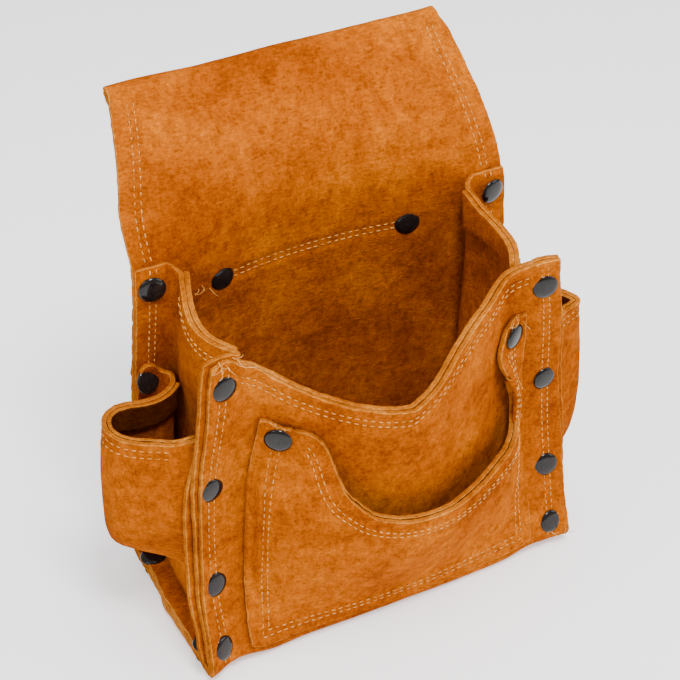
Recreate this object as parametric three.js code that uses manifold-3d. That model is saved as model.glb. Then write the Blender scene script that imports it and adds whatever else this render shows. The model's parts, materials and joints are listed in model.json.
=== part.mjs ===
// Carpenter's nail apron: a belt-hung pouch of split leather, standing open on its flat bottom.
// Millimetres, +Z up, +X to the wearer's left, the front panel faces -Y.
import * as THREE from 'three';
import { mergeVertices } from 'three/addons/utils/BufferGeometryUtils.js';
import Module from 'manifold-3d';

const wasm = await Module();
wasm.setup();

// Leather and the way its layers lie on each other
const leather = 2.4;
const clearance = 0.6;
const ply = leather + clearance;

// Overall sizes of the bag
const baseWidth = 205;
const baseDepth = 99;
const frontHeight = 180;
const backHeight = 258.5;
const foldRadius = 5;
const flangeLift = 3.4;
const bendRadius = 5;
const rivetColumn = 0.91;
const bendColumn = 0.84;

// How far the soft walls stray from flat
const seamSway = 14;
const mouthBow = 26;
const valleyDepth = 8;
const cornerFlare = 4;
const scoopDepth = 42;
const backLean = 44;
const backBow = 12;
const flapBulge = 3.5;
const gussetBulge = { left: 6, right: 9 };
const gussetRimDip = 12;

// Where those forms lie, as shares of the half width or of the back's height
const mouthBowReach = 0.78;
const valleyColumn = 0.7;
const valleyReach = 0.2;
const flareStart = 0.88;
const flareEnd = 1.15;
const backBowReach = 0.86;
const flapBulgeHeight = 0.82;
const flapBulgeReach = 0.12;
const flangeStart = 0.62;

// How far the layers keep out of a fold's curve, in fold radii
const lapEase = 1.6;
const cornerEase = 1.5;

// Bottom panel's turned-up lap behind the back panel
const lapHeight = 24;

// Belt tunnel
const topFoldRise = 3;
const tunnelDepth = 13;
const tunnelTopWidth = 168;
const tunnelSeamWidth = 122;
const seamHeight = 167;
const seamAllowance = 11;
const seamRivetSpacing = 100;

// Front pocket
const pocketBottom = 9;
const pocketBelly = 13;
const pocketRimDrop = 73;
const pocketFacingWidth = 12;
const pocketRivetInset = 8;
const pocketRivetDrop = 10;
const facingRoom = 7.8;

// Front pocket's ears: heights between which they close on the panel, as shares of the corner's height,
// and the share of the belly that goes there.
const earStart = 0.62;
const earEnd = 0.93;
const earClosing = 0.96;

// Side pockets
const sidePocketHeight = 132;
const sidePocketReach = { left: 43.5, right: 34 };
const sidePocketPush = { left: 0, right: 15 };
const sideEarRise = 5;
const footReach = 0.05;
const hemStart = 0.88;
const hemEnd = 0.12;

// Rivets
const capRadius = 6.6;
const backCapRadius = 5;
const capHeight = 2.1;
const shankRadius = 2.2;
const shankClearance = 0.3;
const rivetSides = 8;
const holeSides = 6;
const capLift = 1;
const pocketCapLift = 2.3;

// Colours
const suedeColour = '#d77d16';
const facingColour = '#d98522';
const rivetColour = '#3a3431';

// Front pocket's two sides: reach of the top and bottom corners as shares of half the base width,
// height of the top corner as a share of the front height.
const pocketLeft = { topOut: 0.628, bottomOut: 0.79, top: 0.772 };
const pocketRight = { topOut: 0.732, bottomOut: 0.79, top: 0.833 };

// Front panel from the floor to its top corners. at, halfWidth: shares of the height and half width.
// back: share of the seam sway, bow: share of the mouth bow, leftValley and rightValley: of the valley.
const frontSections = [
  { at: 0.00, halfWidth: 1.000, back: 0.00, bow: 0.00, leftValley: 0.0, rightValley: 0.0 },
  { at: 0.09, halfWidth: 1.002, back: 0.28, bow: 0.14, leftValley: 0.0, rightValley: 0.1 },
  { at: 0.27, halfWidth: 1.005, back: 0.78, bow: 0.58, leftValley: 0.3, rightValley: 0.4 },
  { at: 0.57, halfWidth: 0.975, back: 1.00, bow: 0.94, leftValley: 0.5, rightValley: 0.6 },
  { at: 0.80, halfWidth: 0.935, back: 0.70, bow: 1.00, leftValley: 0.5, rightValley: 0.6 },
  { at: 1.00, halfWidth: 0.890, back: 0.60, bow: 1.00, leftValley: 0.4, rightValley: 0.5 },
];

// Mouth rim of the front panel: drop below the corners as a share of the scoop, at shares of the width.
const mouthRim = [
  { at: 0.00, left: 1.00, right: 1.00 },
  { at: 0.13, left: 0.94, right: 0.80 },
  { at: 0.27, left: 0.85, right: 0.54 },
  { at: 0.40, left: 0.74, right: 0.39 },
  { at: 0.52, left: 0.60, right: 0.31 },
  { at: 0.62, left: 0.46, right: 0.25 },
  { at: 0.73, left: 0.28, right: 0.14 },
  { at: 0.84, left: 0.12, right: 0.05 },
  { at: 0.91, left: 0.04, right: 0.03 },
  { at: 1.00, left: 0.07, right: 0.03 },
];

// Back panel from the floor to the top fold. halfWidth: share of half the base width,
// lean: share of the backward lean, bow: share of the backward bow at the middle.
const backSections = [
  { at: 0.00, halfWidth: 1.000, lean: 0.43, bow: 0.00 },
  { at: 0.23, halfWidth: 0.995, lean: 0.28, bow: 0.50 },
  { at: 0.50, halfWidth: 0.980, lean: 0.10, bow: 0.92 },
  { at: 0.70, halfWidth: 0.955, lean: 0.00, bow: 1.00 },
  { at: 0.78, halfWidth: 0.935, lean: 0.07, bow: 0.75 },
  { at: 0.86, halfWidth: 0.905, lean: 0.31, bow: 0.35 },
  { at: 0.93, halfWidth: 0.870, lean: 0.65, bow: 0.10 },
  { at: 1.00, halfWidth: 0.830, lean: 1.00, bow: 0.00 },
];

// Top edge of a gusset's wall from back to front: share of the rim's dip below its two ends.
const gussetRim = [
  { at: 0.00, drop: 0.30 },
  { at: 0.20, drop: 0.85 },
  { at: 0.45, drop: 1.00 },
  { at: 0.75, drop: 0.84 },
  { at: 1.00, drop: 0.52 },
];

// Belt tunnel's outer wall from the top fold down: share of the way to the lower edge, and of the depth.
const tunnelSections = [
  { at: 0.00, depth: 0.70 },
  { at: 0.18, depth: 0.92 },
  { at: 0.38, depth: 1.00 },
  { at: 0.57, depth: 0.80 },
  { at: 0.72, depth: 0.42 },
  { at: 0.82, depth: 0.00 },
  { at: 1.00, depth: 0.00 },
];

// Front pocket's scooped rim from the left ear to the right one: across is a share of the right
// corner's reach, drop a share of the rim's depth below that corner.
const pocketRim = [
  { across: -0.69, drop: 0.22 },
  { across: -0.60, drop: 0.25 },
  { across: -0.52, drop: 0.33 },
  { across: -0.47, drop: 0.44 },
  { across: -0.44, drop: 0.55 },
  { across: -0.39, drop: 0.68 },
  { across: -0.30, drop: 0.79 },
  { across: -0.22, drop: 0.87 },
  { across: -0.06, drop: 0.95 },
  { across: 0.17, drop: 1.00 },
  { across: 0.37, drop: 1.00 },
  { across: 0.57, drop: 0.97 },
  { across: 0.76, drop: 0.94 },
  { across: 0.89, drop: 0.89 },
  { across: 0.95, drop: 0.79 },
  { across: 0.92, drop: 0.67 },
  { across: 0.85, drop: 0.54 },
  { across: 0.77, drop: 0.38 },
  { across: 0.74, drop: 0.24 },
  { across: 0.78, drop: 0.12 },
  { across: 0.86, drop: 0.03 },
];

// Side pocket's loop seen from above, from the rear crease to the front tab: out is a share of its
// reach past the flange's bend, along a share of the way from the rear flange to the front one.
const pocketLoop = [
  { out: 0.10, along: 0.02 },
  { out: 0.02, along: 0.11 },
  { out: 0.08, along: 0.23 },
  { out: 0.25, along: 0.32 },
  { out: 0.48, along: 0.34 },
  { out: 0.68, along: 0.30 },
  { out: 0.84, along: 0.31 },
  { out: 0.95, along: 0.39 },
  { out: 1.00, along: 0.52 },
  { out: 0.96, along: 0.65 },
  { out: 0.85, along: 0.76 },
  { out: 0.64, along: 0.87 },
  { out: 0.42, along: 0.96 },
];
const rearTabColumns = [1, 0.96, 0.91];
const frontTabColumns = [0.96, 0.91, 0.87];
const hemColumn = 0.865;

// Side pockets from the rim down: at is a share of the way up from the tabs' lower ends, left and right
// the share of that pocket's loop at this height.
const pocketDrop = [
  { at: 1.00, left: 1.00, right: 1.00 },
  { at: 0.88, left: 1.00, right: 1.03 },
  { at: 0.75, left: 1.00, right: 1.08 },
  { at: 0.52, left: 0.98, right: 1.10 },
  { at: 0.34, left: 0.90, right: 1.04 },
  { at: 0.24, left: 0.68, right: 0.93 },
  { at: 0.15, left: 0.37, right: 0.58 },
  { at: 0.07, left: 0.14, right: 0.22 },
  { at: 0.00, left: 0.06, right: 0.06 },
];

// Rivets of the seams: at is a share of the wall's height or of the bottom's depth, across a share of
// the half width, layers how many the rivet holds.
const frontSeamRivets = [
  { at: 0.911, across: 0.888, layers: 2 },
  { at: 0.578, across: 0.900, layers: 3 },
  { at: 0.275, across: 0.895, layers: 3 },
  { at: 0.089, across: 0.910, layers: 2 },
];
const backSeamRivets = [
  { at: 0.700, across: 0.915, layers: 2 },
  { at: 0.499, across: 0.940, layers: 3 },
  { at: 0.240, across: 0.945, layers: 3 },
];
const bottomSeamRivets = [
  { at: 0.18, across: 0.955, layers: 3 },
  { at: 0.84, across: 0.950, layers: 3 },
];

// Grid shares shared by neighbouring layers, so that they bend at the same lines
const edgeColumns = [1, rivetColumn, bendColumn];
const frontColumns = [0, 0.17, 0.34, 0.5, 0.61, 0.7, 0.77, bendColumn, rivetColumn, 1];
const backColumns = [0, 0.22, 0.45, 0.66, bendColumn, rivetColumn, 1];
const frontRows = [0.135, 0.21, 0.33, 0.44, 0.58, 0.735, 0.91, 1];
const backRows = [0.062, 0.165, 0.315, 0.43, 0.56, 0.63, 0.696, 0.738];
const upperRows = [0.79, 0.85, 0.905, 0.95];
const bottomShares = [0.1, 0.37, 0.63, 0.9];

// Derived places
const halfBase = baseWidth / 2;
const floorLayer = leather / 2;
const frontFace = -baseDepth / 2;
const backFace = baseDepth / 2;
const topFoldStart = backHeight - topFoldRise;
const sidePocketFoot = frontSeamRivets.at(-1).at * frontHeight + backCapRadius;

// Value of a table's column at a share, smooth through the rows.
function valueAt(table, column, share) {
  const last = table.length - 1;
  const at = Math.min(Math.max(share, table[0].at), table[last].at);
  let i = 0;
  while (i < last - 1 && at > table[i + 1].at) i += 1;
  const slope = (k) => {
    const a = table[Math.max(k - 1, 0)];
    const b = table[Math.min(k + 1, last)];
    return (b[column] - a[column]) / (b.at - a.at);
  };
  const [p, q] = [table[i], table[i + 1]];
  const span = q.at - p.at;
  const t = (at - p.at) / span;
  const rise = q[column] - p[column];
  const pull = t * (1 - t) * ((1 - t) * (slope(i) * span - rise) - t * (slope(i + 1) * span - rise));
  return p[column] + t * rise + pull;
}

function smooth(low, high, value) {
  const t = Math.min(Math.max((value - low) / (high - low), 0), 1);
  return t * t * (3 - 2 * t);
}

function wave(centre, reach, value) {
  const away = Math.abs(value - centre) / reach;
  return away < 1 ? Math.cos(away * Math.PI / 2) ** 2 : 0;
}

// Front panel's middle surface: a height field behind the plane of the front seams.
function frontHalfWidth(z) {
  return halfBase * valueAt(frontSections, 'halfWidth', z / frontHeight);
}

function frontPoint(x, z) {
  const share = z / frontHeight;
  const across = x / frontHalfWidth(z);
  const side = across < 0 ? 'leftValley' : 'rightValley';
  const y = frontFace + floorLayer
    + seamSway * valueAt(frontSections, 'back', share)
    - mouthBow * valueAt(frontSections, 'bow', share) * wave(0, mouthBowReach, across)
    + valleyDepth * valueAt(frontSections, side, share) * wave(valleyColumn, valleyReach, Math.abs(across))
    - cornerFlare * smooth(flareStart, flareEnd, Math.abs(across));
  return new THREE.Vector3(x, y, z);
}

// Back panel's middle surface, the same way.
function backHalfWidth(z, side = 1) {
  const bulge = side < 0 ? flapBulge * wave(flapBulgeHeight, flapBulgeReach, z / backHeight) : 0;
  return halfBase * valueAt(backSections, 'halfWidth', z / backHeight) + bulge;
}

function backPoint(x, z) {
  const share = z / backHeight;
  const across = Math.min(Math.abs(x) / backHalfWidth(z) / backBowReach, 1);
  const plumb = backFace - floorLayer - ply - backLean * backSections[0].lean;
  const y = plumb + backLean * valueAt(backSections, 'lean', share)
    + backBow * valueAt(backSections, 'bow', share) * Math.cos(across * Math.PI / 2);
  return new THREE.Vector3(x, y, z);
}

// Moves a point off a surface along its normal; a positive distance goes towards +Y.
function offSurface(surface, x, z, distance) {
  const step = 0.5;
  const across = surface(x + step, z).sub(surface(x - step, z));
  const up = surface(x, z + step).sub(surface(x, z - step));
  const normal = up.cross(across).normalize();
  if (normal.y < 0) normal.negate();
  return surface(x, z).addScaledVector(normal, distance);
}

function bottomHeight(across) {
  return floorLayer + flangeLift * smooth(flangeStart, bendColumn, Math.abs(across));
}

// Normals of a sheet's middle surface, and how much of an offset each corner's bend leaves.
function sheetNormals({ points, faces }) {
  const normals = points.map(() => new THREE.Vector3());
  const slack = points.map(() => 1);
  const faceNormals = faces.map(([a, b, c, d]) => {
    const one = points[c].clone().sub(points[a]);
    return one.cross(points[d].clone().sub(points[b])).normalize();
  });
  faces.forEach((face, f) => face.forEach((v) => normals[v].add(faceNormals[f])));
  normals.forEach((normal) => normal.normalize());
  faces.forEach((face, f) => face.forEach((v) => {
    slack[v] = Math.min(slack[v], Math.max(normals[v].dot(faceNormals[f]), 0.7));
  }));
  return points.map((p, v) => normals[v].divideScalar(slack[v]));
}

// Closed solid of a leather sheet from its middle surface, given as points and four-cornered faces.
function sheetGeometry(sheet) {
  const { points, faces } = sheet;
  const normals = sheetNormals(sheet);
  const upper = points.map((p, v) => p.clone().addScaledVector(normals[v], leather / 2));
  const lower = points.map((p, v) => p.clone().addScaledVector(normals[v], -leather / 2));
  const n = points.length;
  const index = [];
  const edges = new Map();
  for (const [a, b, c, d] of faces) {
    index.push(a, b, c, a, c, d);
    index.push(a + n, c + n, b + n, a + n, d + n, c + n);
    for (const [p, q] of [[a, b], [b, c], [c, d], [d, a]]) {
      if (edges.has(`${q},${p}`)) edges.delete(`${q},${p}`);
      else edges.set(`${p},${q}`, [p, q]);
    }
  }
  for (const [p, q] of edges.values()) index.push(q, p, p + n, q, p + n, q + n);
  const geometry = new THREE.BufferGeometry();
  geometry.setFromPoints([...upper, ...lower]);
  geometry.setIndex(index);
  return geometry;
}

// A second layer that lies on part of a grid sheet, at a distance along its normals.
function layerOn(sheet, rows, columns, distance) {
  const normals = sheetNormals(sheet);
  const points = [];
  for (const i of rows) {
    for (const j of columns) {
      const v = sheet.grid[i][j];
      points.push(sheet.points[v].clone().addScaledVector(normals[v], distance));
    }
  }
  return gridSheet(rows.length, columns.length, (i, j) => points[i * columns.length + j]);
}

const range = (from, to) => Array.from({ length: to - from + 1 }, (_, k) => from + k);

// Points and faces of a plain grid; skip leaves faces out. Its grid gives each point's place.
function gridSheet(rows, columns, pointAt, skip = () => false) {
  const faces = [];
  for (let i = 0; i < rows - 1; i += 1) {
    for (let j = 0; j < columns - 1; j += 1) {
      const a = i * columns + j;
      if (!skip(i, j)) faces.push([a, a + 1, a + columns + 1, a + columns]);
    }
  }
  const used = [...new Set(faces.flat())].sort((a, b) => a - b);
  const place = new Map(used.map((v, k) => [v, k]));
  const points = used.map((v) => pointAt(Math.floor(v / columns), v % columns));
  const grid = range(0, rows - 1).map((i) => range(0, columns - 1).map((j) => place.get(i * columns + j)));
  return { points, grid, faces: faces.map((face) => face.map((v) => place.get(v))) };
}

function mirrored(sheet, side) {
  if (side > 0) return sheet;
  return {
    points: sheet.points.map((p) => new THREE.Vector3(-p.x, p.y, p.z)),
    faces: sheet.faces.map((face) => [...face].reverse()),
  };
}

const bothSides = (shares) => [...shares.slice(1).reverse().map((s) => -s), ...shares];

// Columns of points that make up the front and bottom panel, from the lap at the back to the mouth.
const frontBands = bothSides(frontColumns);

function mouthHeight(across) {
  const drop = valueAt(mouthRim, across < 0 ? 'left' : 'right', Math.abs(across));
  return frontHeight - scoopDepth * drop;
}

function frontRowHeight(share, across) {
  const start = frontRows[0] * frontHeight;
  const along = (share - frontRows[0]) / (1 - frontRows[0]);
  return start + (mouthHeight(across) - start) * along;
}

function panelColumn(across) {
  const x0 = across * halfBase;
  const low = bottomHeight(across);
  const front = frontPoint(x0, 0).y;
  const back = backPoint(x0, 0).y;
  const lap = (z) => offSurface(backPoint, across * backHalfWidth(z), z, ply);
  const corner = foldRadius * (1 - Math.SQRT1_2);
  const column = [
    lap(lapHeight),
    lap(low + lapEase * foldRadius),
    lap(low + corner).add(new THREE.Vector3(0, -corner, 0)),
    new THREE.Vector3(x0, back + ply - foldRadius, low),
  ];
  for (const share of [...bottomShares].reverse()) {
    column.push(new THREE.Vector3(x0, front + (back - front) * share, low));
  }
  column.push(new THREE.Vector3(x0, front + foldRadius, low));
  column.push(new THREE.Vector3(x0, front + corner, low + corner));
  column.push(frontPoint(x0, low + foldRadius));
  for (const share of frontRows) {
    const z = frontRowHeight(share, across);
    column.push(frontPoint(across * frontHalfWidth(z), z));
  }
  return column;
}

function frontPanelSheet() {
  const columns = frontBands.map(panelColumn);
  return gridSheet(columns[0].length, columns.length, (i, j) => columns[j][i]);
}

// Facing strip inside the mouth rim, between the gussets.
function mouthFacingSheet(panel) {
  const bands = frontBands
    .map((across, j) => ({ across, j }))
    .filter(({ across }) => Math.abs(across) < bendColumn);
  const last = panel.grid.length - 1;
  return layerOn(panel, [last - 1, last], bands.map(({ j }) => j), -ply);
}

// Back panel, its top fold and the belt tunnel's outer wall, one long piece.
const backBands = bothSides(backColumns);

function tunnelPoint(across, share) {
  const z = topFoldStart + (seamHeight - seamAllowance - topFoldStart) * share;
  const tight = tunnelSections.at(-2).at;
  const narrowing = Math.min(share / tight, 1);
  const halfWidth = (tunnelTopWidth + (tunnelSeamWidth - tunnelTopWidth) * narrowing) / 2;
  const depth = ply + (tunnelDepth - ply) * valueAt(tunnelSections, 'depth', share);
  return offSurface(backPoint, across * halfWidth, z, depth);
}

function backColumn(across) {
  const column = [];
  const low = bottomHeight(across) + 2 * foldRadius;
  for (const z of [low, ...[...backRows, ...upperRows].map((share) => share * backHeight), topFoldStart]) {
    column.push(backPoint(across * backHalfWidth(z, across), z));
  }
  const base = column.at(-1);
  const end = tunnelPoint(across, 0);
  const middle = base.clone().add(end).multiplyScalar(0.5);
  const radius = base.distanceTo(end) / 2;
  const out = base.clone().sub(middle).normalize();
  const rise = new THREE.Vector3(0, -out.z, out.y);
  if (rise.z < 0) rise.negate();
  rise.normalize();
  for (const turn of [Math.PI / 3, 2 * Math.PI / 3]) {
    const arm = out.clone().multiplyScalar(Math.cos(turn) * radius);
    column.push(middle.clone().add(arm).addScaledVector(rise, Math.sin(turn) * radius));
  }
  for (const { at } of tunnelSections) column.push(tunnelPoint(across, at));
  return column;
}

function backPanelSheet() {
  const columns = backBands.map(backColumn);
  return gridSheet(columns[0].length, columns.length, (i, j) => columns[j][i]);
}

// Strip that backs the upper panel's side edge.
function edgeStripSheet() {
  const rows = upperRows.map((share) => share * backHeight);
  return gridSheet(rows.length, edgeColumns.length, (i, j) => (
    offSurface(backPoint, edgeColumns[edgeColumns.length - 1 - j] * backHalfWidth(rows[i]), rows[i], ply)
  ));
}

// Point on a stack of seam layers, level with the facets of the layers below it.
function onFlange(at, across, z, layers) {
  const rows = at === 'front' ? frontRows : backRows;
  const height = at === 'front' ? frontHeight : backHeight;
  const row = rows.findLastIndex((share) => share * height <= z + 1e-6);
  if (row < 0) return flangePoint({ at, share: z / height }, across, layers);
  const next = Math.min(row + 1, rows.length - 1);
  const column = across >= rivetColumn ? 0 : 1;
  const [outer, inner] = edgeColumns.slice(column, column + 2);
  const t = (outer - across) / (outer - inner);
  const corner = (r, a) => flangePoint({ at, share: rows[r] }, a, layers);
  const low = corner(row, outer).lerp(corner(row, inner), t);
  const high = corner(next, outer).lerp(corner(next, inner), t);
  return next === row ? low : low.lerp(high, (z - low.z) / (high.z - low.z));
}

// Gusset on the +X side: a wall whose front, bottom and back edges turn outwards into one flange.
function gussetPath() {
  const front = frontRows.map((share) => ({ at: 'front', share })).reverse();
  const bottom = bottomShares.map((share) => ({ at: 'bottom', share }));
  const back = backRows.map((share) => ({ at: 'back', share }));
  return [...front, { at: 'frontCorner' }, ...bottom, { at: 'backCorner' }, ...back];
}

// Point of the flange at one station of that path, and the way its wall goes in from there.
function flangePoint(station, across, layers) {
  const x0 = across * halfBase;
  const off = layers * ply;
  const low = bottomHeight(across) + off;
  const front = frontPoint(x0, 0).y;
  const back = backPoint(x0, 0).y;
  if (station.at === 'front') {
    const z = frontRowHeight(station.share, across);
    return offSurface(frontPoint, across * frontHalfWidth(z), z, off);
  }
  if (station.at === 'back') {
    const z = station.share * backHeight;
    return offSurface(backPoint, across * backHalfWidth(z), z, -off);
  }
  const ease = cornerEase * foldRadius * (1 - Math.SQRT1_2);
  if (station.at === 'frontCorner') return new THREE.Vector3(x0, front + off + ease, low + ease);
  if (station.at === 'backCorner') return new THREE.Vector3(x0, back - off - ease, low + ease);
  return new THREE.Vector3(x0, front + (back - front) * station.share, low);
}

function wayIn(station) {
  if (station.at === 'front') return new THREE.Vector3(0, 1, 0);
  if (station.at === 'back') return new THREE.Vector3(0, -1, 0);
  if (station.at === 'frontCorner') return new THREE.Vector3(0, 1, 1);
  if (station.at === 'backCorner') return new THREE.Vector3(0, -1, 1);
  return new THREE.Vector3(0, 0, 1);
}

function gussetWallPoint(row, share, bulge) {
  const bend = edgeColumns.at(-1);
  const corner = (at, shareUp) => {
    const station = { at, share: shareUp };
    const p = flangePoint(station, bend, 1).addScaledVector(wayIn(station), bendRadius);
    return p.add(new THREE.Vector3(-bendRadius, 0, 0));
  };
  const back = corner('back', backRows[row]);
  const front = corner('front', frontRows[row]);
  const p = back.lerp(front, share);
  p.x += bulge * (row / (frontRows.length - 1)) * Math.sin(share * Math.PI);
  return p;
}

function gussetSheet(bulge) {
  const path = gussetPath();
  const points = [];
  const faces = [];
  const strip = path.map((station) => {
    const line = edgeColumns.map((across) => flangePoint(station, across, 1));
    const root = line.at(-1);
    const inwards = wayIn(station);
    const half = bendRadius * (1 - Math.SQRT1_2);
    const middle = root.clone().addScaledVector(inwards, half);
    middle.x -= bendRadius * Math.SQRT1_2;
    const end = root.clone().addScaledVector(inwards, bendRadius);
    end.x -= bendRadius;
    return [...line, middle, end].map((p) => points.push(p) - 1);
  });
  const rows = frontRows.length;
  const across = bottomShares.length + 2;
  const top = strip.length - 1;
  // Wall rows run from the back to the front; their ends are the flange's own points.
  const wall = [];
  const bottomRow = [];
  for (let j = 0; j < across; j += 1) bottomRow.push(strip[top - rows - j].at(-1));
  wall.push(bottomRow);
  for (let i = 0; i < rows; i += 1) {
    const line = [strip[top - rows + 1 + i].at(-1)];
    for (let j = 1; j < across - 1; j += 1) {
      const p = gussetWallPoint(i, j / (across - 1), bulge);
      line.push(points.push(p) - 1);
    }
    line.push(strip[rows - 1 - i].at(-1));
    wall.push(line);
  }
  // The rim dips between its ends.
  const [rearEnd, frontEnd] = [backRows.at(-1) * backHeight, frontHeight];
  wall.at(-1).forEach((v, j) => {
    const at = j / (across - 1);
    points[v].z = rearEnd + (frontEnd - rearEnd) * at - gussetRimDip * valueAt(gussetRim, 'drop', at);
  });
  for (let k = 0; k < strip.length - 1; k += 1) {
    for (let b = 0; b < strip[k].length - 1; b += 1) {
      faces.push([strip[k][b], strip[k + 1][b], strip[k + 1][b + 1], strip[k][b + 1]]);
    }
  }
  for (let i = 0; i < wall.length - 1; i += 1) {
    for (let j = 0; j < across - 1; j += 1) {
      faces.push([wall[i][j], wall[i + 1][j], wall[i + 1][j + 1], wall[i][j + 1]]);
    }
  }
  return { points, faces, grid: wall };
}

// Front pocket's outline on the panel, from the left corner down, across and up to the right corner.
const pocketStations = 29;
const pocketSideSteps = 8;

function pocketTop(side) {
  return frontHeight * (side < 0 ? pocketLeft : pocketRight).top;
}

function pocketHalfWidth(side, z) {
  const { topOut, bottomOut } = side < 0 ? pocketLeft : pocketRight;
  const share = Math.min(Math.max((z - pocketBottom) / (pocketTop(side) - pocketBottom), 0), 1);
  return halfBase * (bottomOut + (topOut - bottomOut) * share);
}

function pocketOutline() {
  const edge = (side, k) => {
    const top = pocketTop(side);
    const z = top + (pocketBottom - top) * k / pocketSideSteps;
    return new THREE.Vector2(side * pocketHalfWidth(side, z), z);
  };
  const base = pocketStations - 2 * pocketSideSteps;
  const [left, right] = [edge(-1, pocketSideSteps), edge(1, pocketSideSteps)];
  return [
    ...range(0, pocketSideSteps - 1).map((k) => edge(-1, k)),
    ...range(0, base - 1).map((k) => left.clone().lerp(right, k / (base - 1))),
    ...range(0, pocketSideSteps - 1).reverse().map((k) => edge(1, k)),
  ];
}

function pocketRimLine() {
  const curve = new THREE.CatmullRomCurve3(pocketRim.map(({ across, drop }) => (
    new THREE.Vector3(across * halfBase * pocketRight.topOut, 0, pocketTop(1) - pocketRimDrop * drop)
  )), false, 'centripetal');
  return curve.getSpacedPoints(pocketStations - 1).map((p) => new THREE.Vector2(p.x, p.z));
}

function pocketBellyAt(x, z) {
  const top = pocketTop(x);
  const across = Math.min(Math.abs(x) / pocketHalfWidth(x, z), 1);
  const up = smooth(pocketBottom, pocketBottom + pocketRimDrop, z);
  const ears = 1 - earClosing * smooth(earStart * top, earEnd * top, z);
  return pocketBelly * (1 - across ** 6) * Math.sin(up * Math.PI / 2) * ears;
}

function pocketPoint(x, z) {
  return offSurface(frontPoint, x, z, -ply - pocketBellyAt(x, z));
}

function frontPocketSheet() {
  const outline = pocketOutline();
  const rim = pocketRimLine();
  const steps = [0, 0.34, 0.67, 1];
  return gridSheet(steps.length + 1, pocketStations, (i, j) => {
    const span = outline[j].clone().sub(rim[j]);
    const facing = Math.min(pocketFacingWidth / span.length(), 0.5);
    const share = i === 0 ? 0 : facing + (1 - facing) * steps[i - 1];
    const p = rim[j].clone().addScaledVector(span, share);
    return pocketPoint(p.x, p.y);
  });
}

// Stations where the pocket stands far enough off the panel to leave room for its facing.
function pocketFacingStations() {
  const rim = pocketRimLine();
  return range(1, pocketStations - 2).filter((j) => pocketBellyAt(rim[j].x, rim[j].y) > facingRoom);
}

// Side pocket on the +X side: a tab on the rear flange, a loop, a tab behind the front flange, and a
// lower edge that lies on the bottom flange.
function sidePocketSheet(name) {
  const reach = sidePocketReach[name];
  const push = sidePocketPush[name];
  const tabs = rearTabColumns.length;
  const loop = pocketLoop.length;
  const columns = tabs + loop + frontTabColumns.length;
  const rows = pocketDrop.length;
  const lastLoop = tabs + loop - 1;
  const wallPoint = (i, j) => {
    const { at, [name]: keep } = pocketDrop[i];
    const z = sidePocketFoot + (sidePocketHeight - sidePocketFoot) * at;
    if (j < tabs) {
      const p = onFlange('back', rearTabColumns[j], z, 2);
      if (i === 0 && j > 0) p.z += sideEarRise;
      return p;
    }
    if (j > lastLoop) return onFlange('front', frontTabColumns[j - lastLoop - 1], z, 2);
    const { out, along } = pocketLoop[j - tabs];
    const rear = onFlange('back', bendColumn, z, 2);
    const front = onFlange('front', bendColumn, z, 2);
    const even = (j - tabs) / (loop - 1);
    const p = rear.clone().lerp(front, along + (even - along) * (1 - keep));
    p.x += reach * (out * keep + footReach * (1 - keep));
    p.y -= 2 * push * out ** 2 * keep * (1 - along);
    p.z = z;
    return p;
  };
  const hemPoint = (across, j) => {
    const even = (j - tabs) / (loop - 1);
    return flangePoint({ at: 'bottom', share: hemStart + (hemEnd - hemStart) * even }, across, 2);
  };
  return gridSheet(rows + 2, columns, (i, j) => {
    if (i < rows) return wallPoint(i, j);
    return hemPoint(i === rows ? hemColumn : 1, j);
  }, (i, j) => i >= rows - 1 && (j < tabs || j >= lastLoop));
}

function sideFacingSheet(pocket) {
  const tabs = rearTabColumns.length;
  return layerOn(pocket, [0, 1], range(tabs + 3, tabs + pocketLoop.length - 2), -ply);
}

// Solids for cutting and joining.
function toSolid(geometry) {
  const bare = geometry.clone();
  bare.deleteAttribute('normal');
  bare.deleteAttribute('uv');
  const merged = mergeVertices(bare, 1e-4);
  return new wasm.Manifold(new wasm.Mesh({
    numProp: 3,
    vertProperties: new Float32Array(merged.attributes.position.array),
    triVerts: new Uint32Array(merged.index.array),
  }));
}

function toGeometry(solid) {
  const { vertProperties, triVerts } = solid.getMesh();
  const geometry = new THREE.BufferGeometry();
  geometry.setAttribute('position', new THREE.BufferAttribute(vertProperties, 3));
  geometry.setIndex(new THREE.BufferAttribute(triVerts, 1));
  return geometry;
}

// Turns a shape made round the Y axis so that it runs along the line through two points.
function alongLine(geometry, from, to) {
  const axis = to.clone().sub(from).normalize();
  const turn = new THREE.Quaternion().setFromUnitVectors(new THREE.Vector3(0, 1, 0), axis);
  return geometry.applyQuaternion(turn).translate(from.x, from.y, from.z);
}

// Two-capped rivet through layers whose middle surfaces run from inner to outer.
function rivetGeometry(inner, outer, lift) {
  const seat = leather / 2 + capLift;
  const outerSeat = leather / 2 + lift;
  const grip = inner.distanceTo(outer);
  const cap = (radius, start, way) => [
    [radius, start],
    [0.72 * radius, start + way * 0.75 * capHeight],
    [0, start + way * capHeight],
  ];
  const profile = [
    ...cap(backCapRadius, -seat, -1).reverse(),
    [shankRadius, -seat],
    [shankRadius, grip + outerSeat],
    ...cap(capRadius, grip + outerSeat, 1),
  ].map(([r, h]) => new THREE.Vector2(r, h));
  return toGeometry(toSolid(alongLine(new THREE.LatheGeometry(profile, rivetSides), inner, outer)));
}

function rivetHole(inner, outer) {
  const radius = (shankRadius + shankClearance) / Math.cos(Math.PI / holeSides);
  const depth = inner.distanceTo(outer) + 4 * leather;
  const hole = new THREE.CylinderGeometry(radius, radius, depth, holeSides);
  hole.translate(0, inner.distanceTo(outer) / 2, 0);
  return toSolid(alongLine(hole, inner, outer));
}

function mirrorPoint(point, side) {
  return new THREE.Vector3(side * point.x, point.y, point.z);
}

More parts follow.
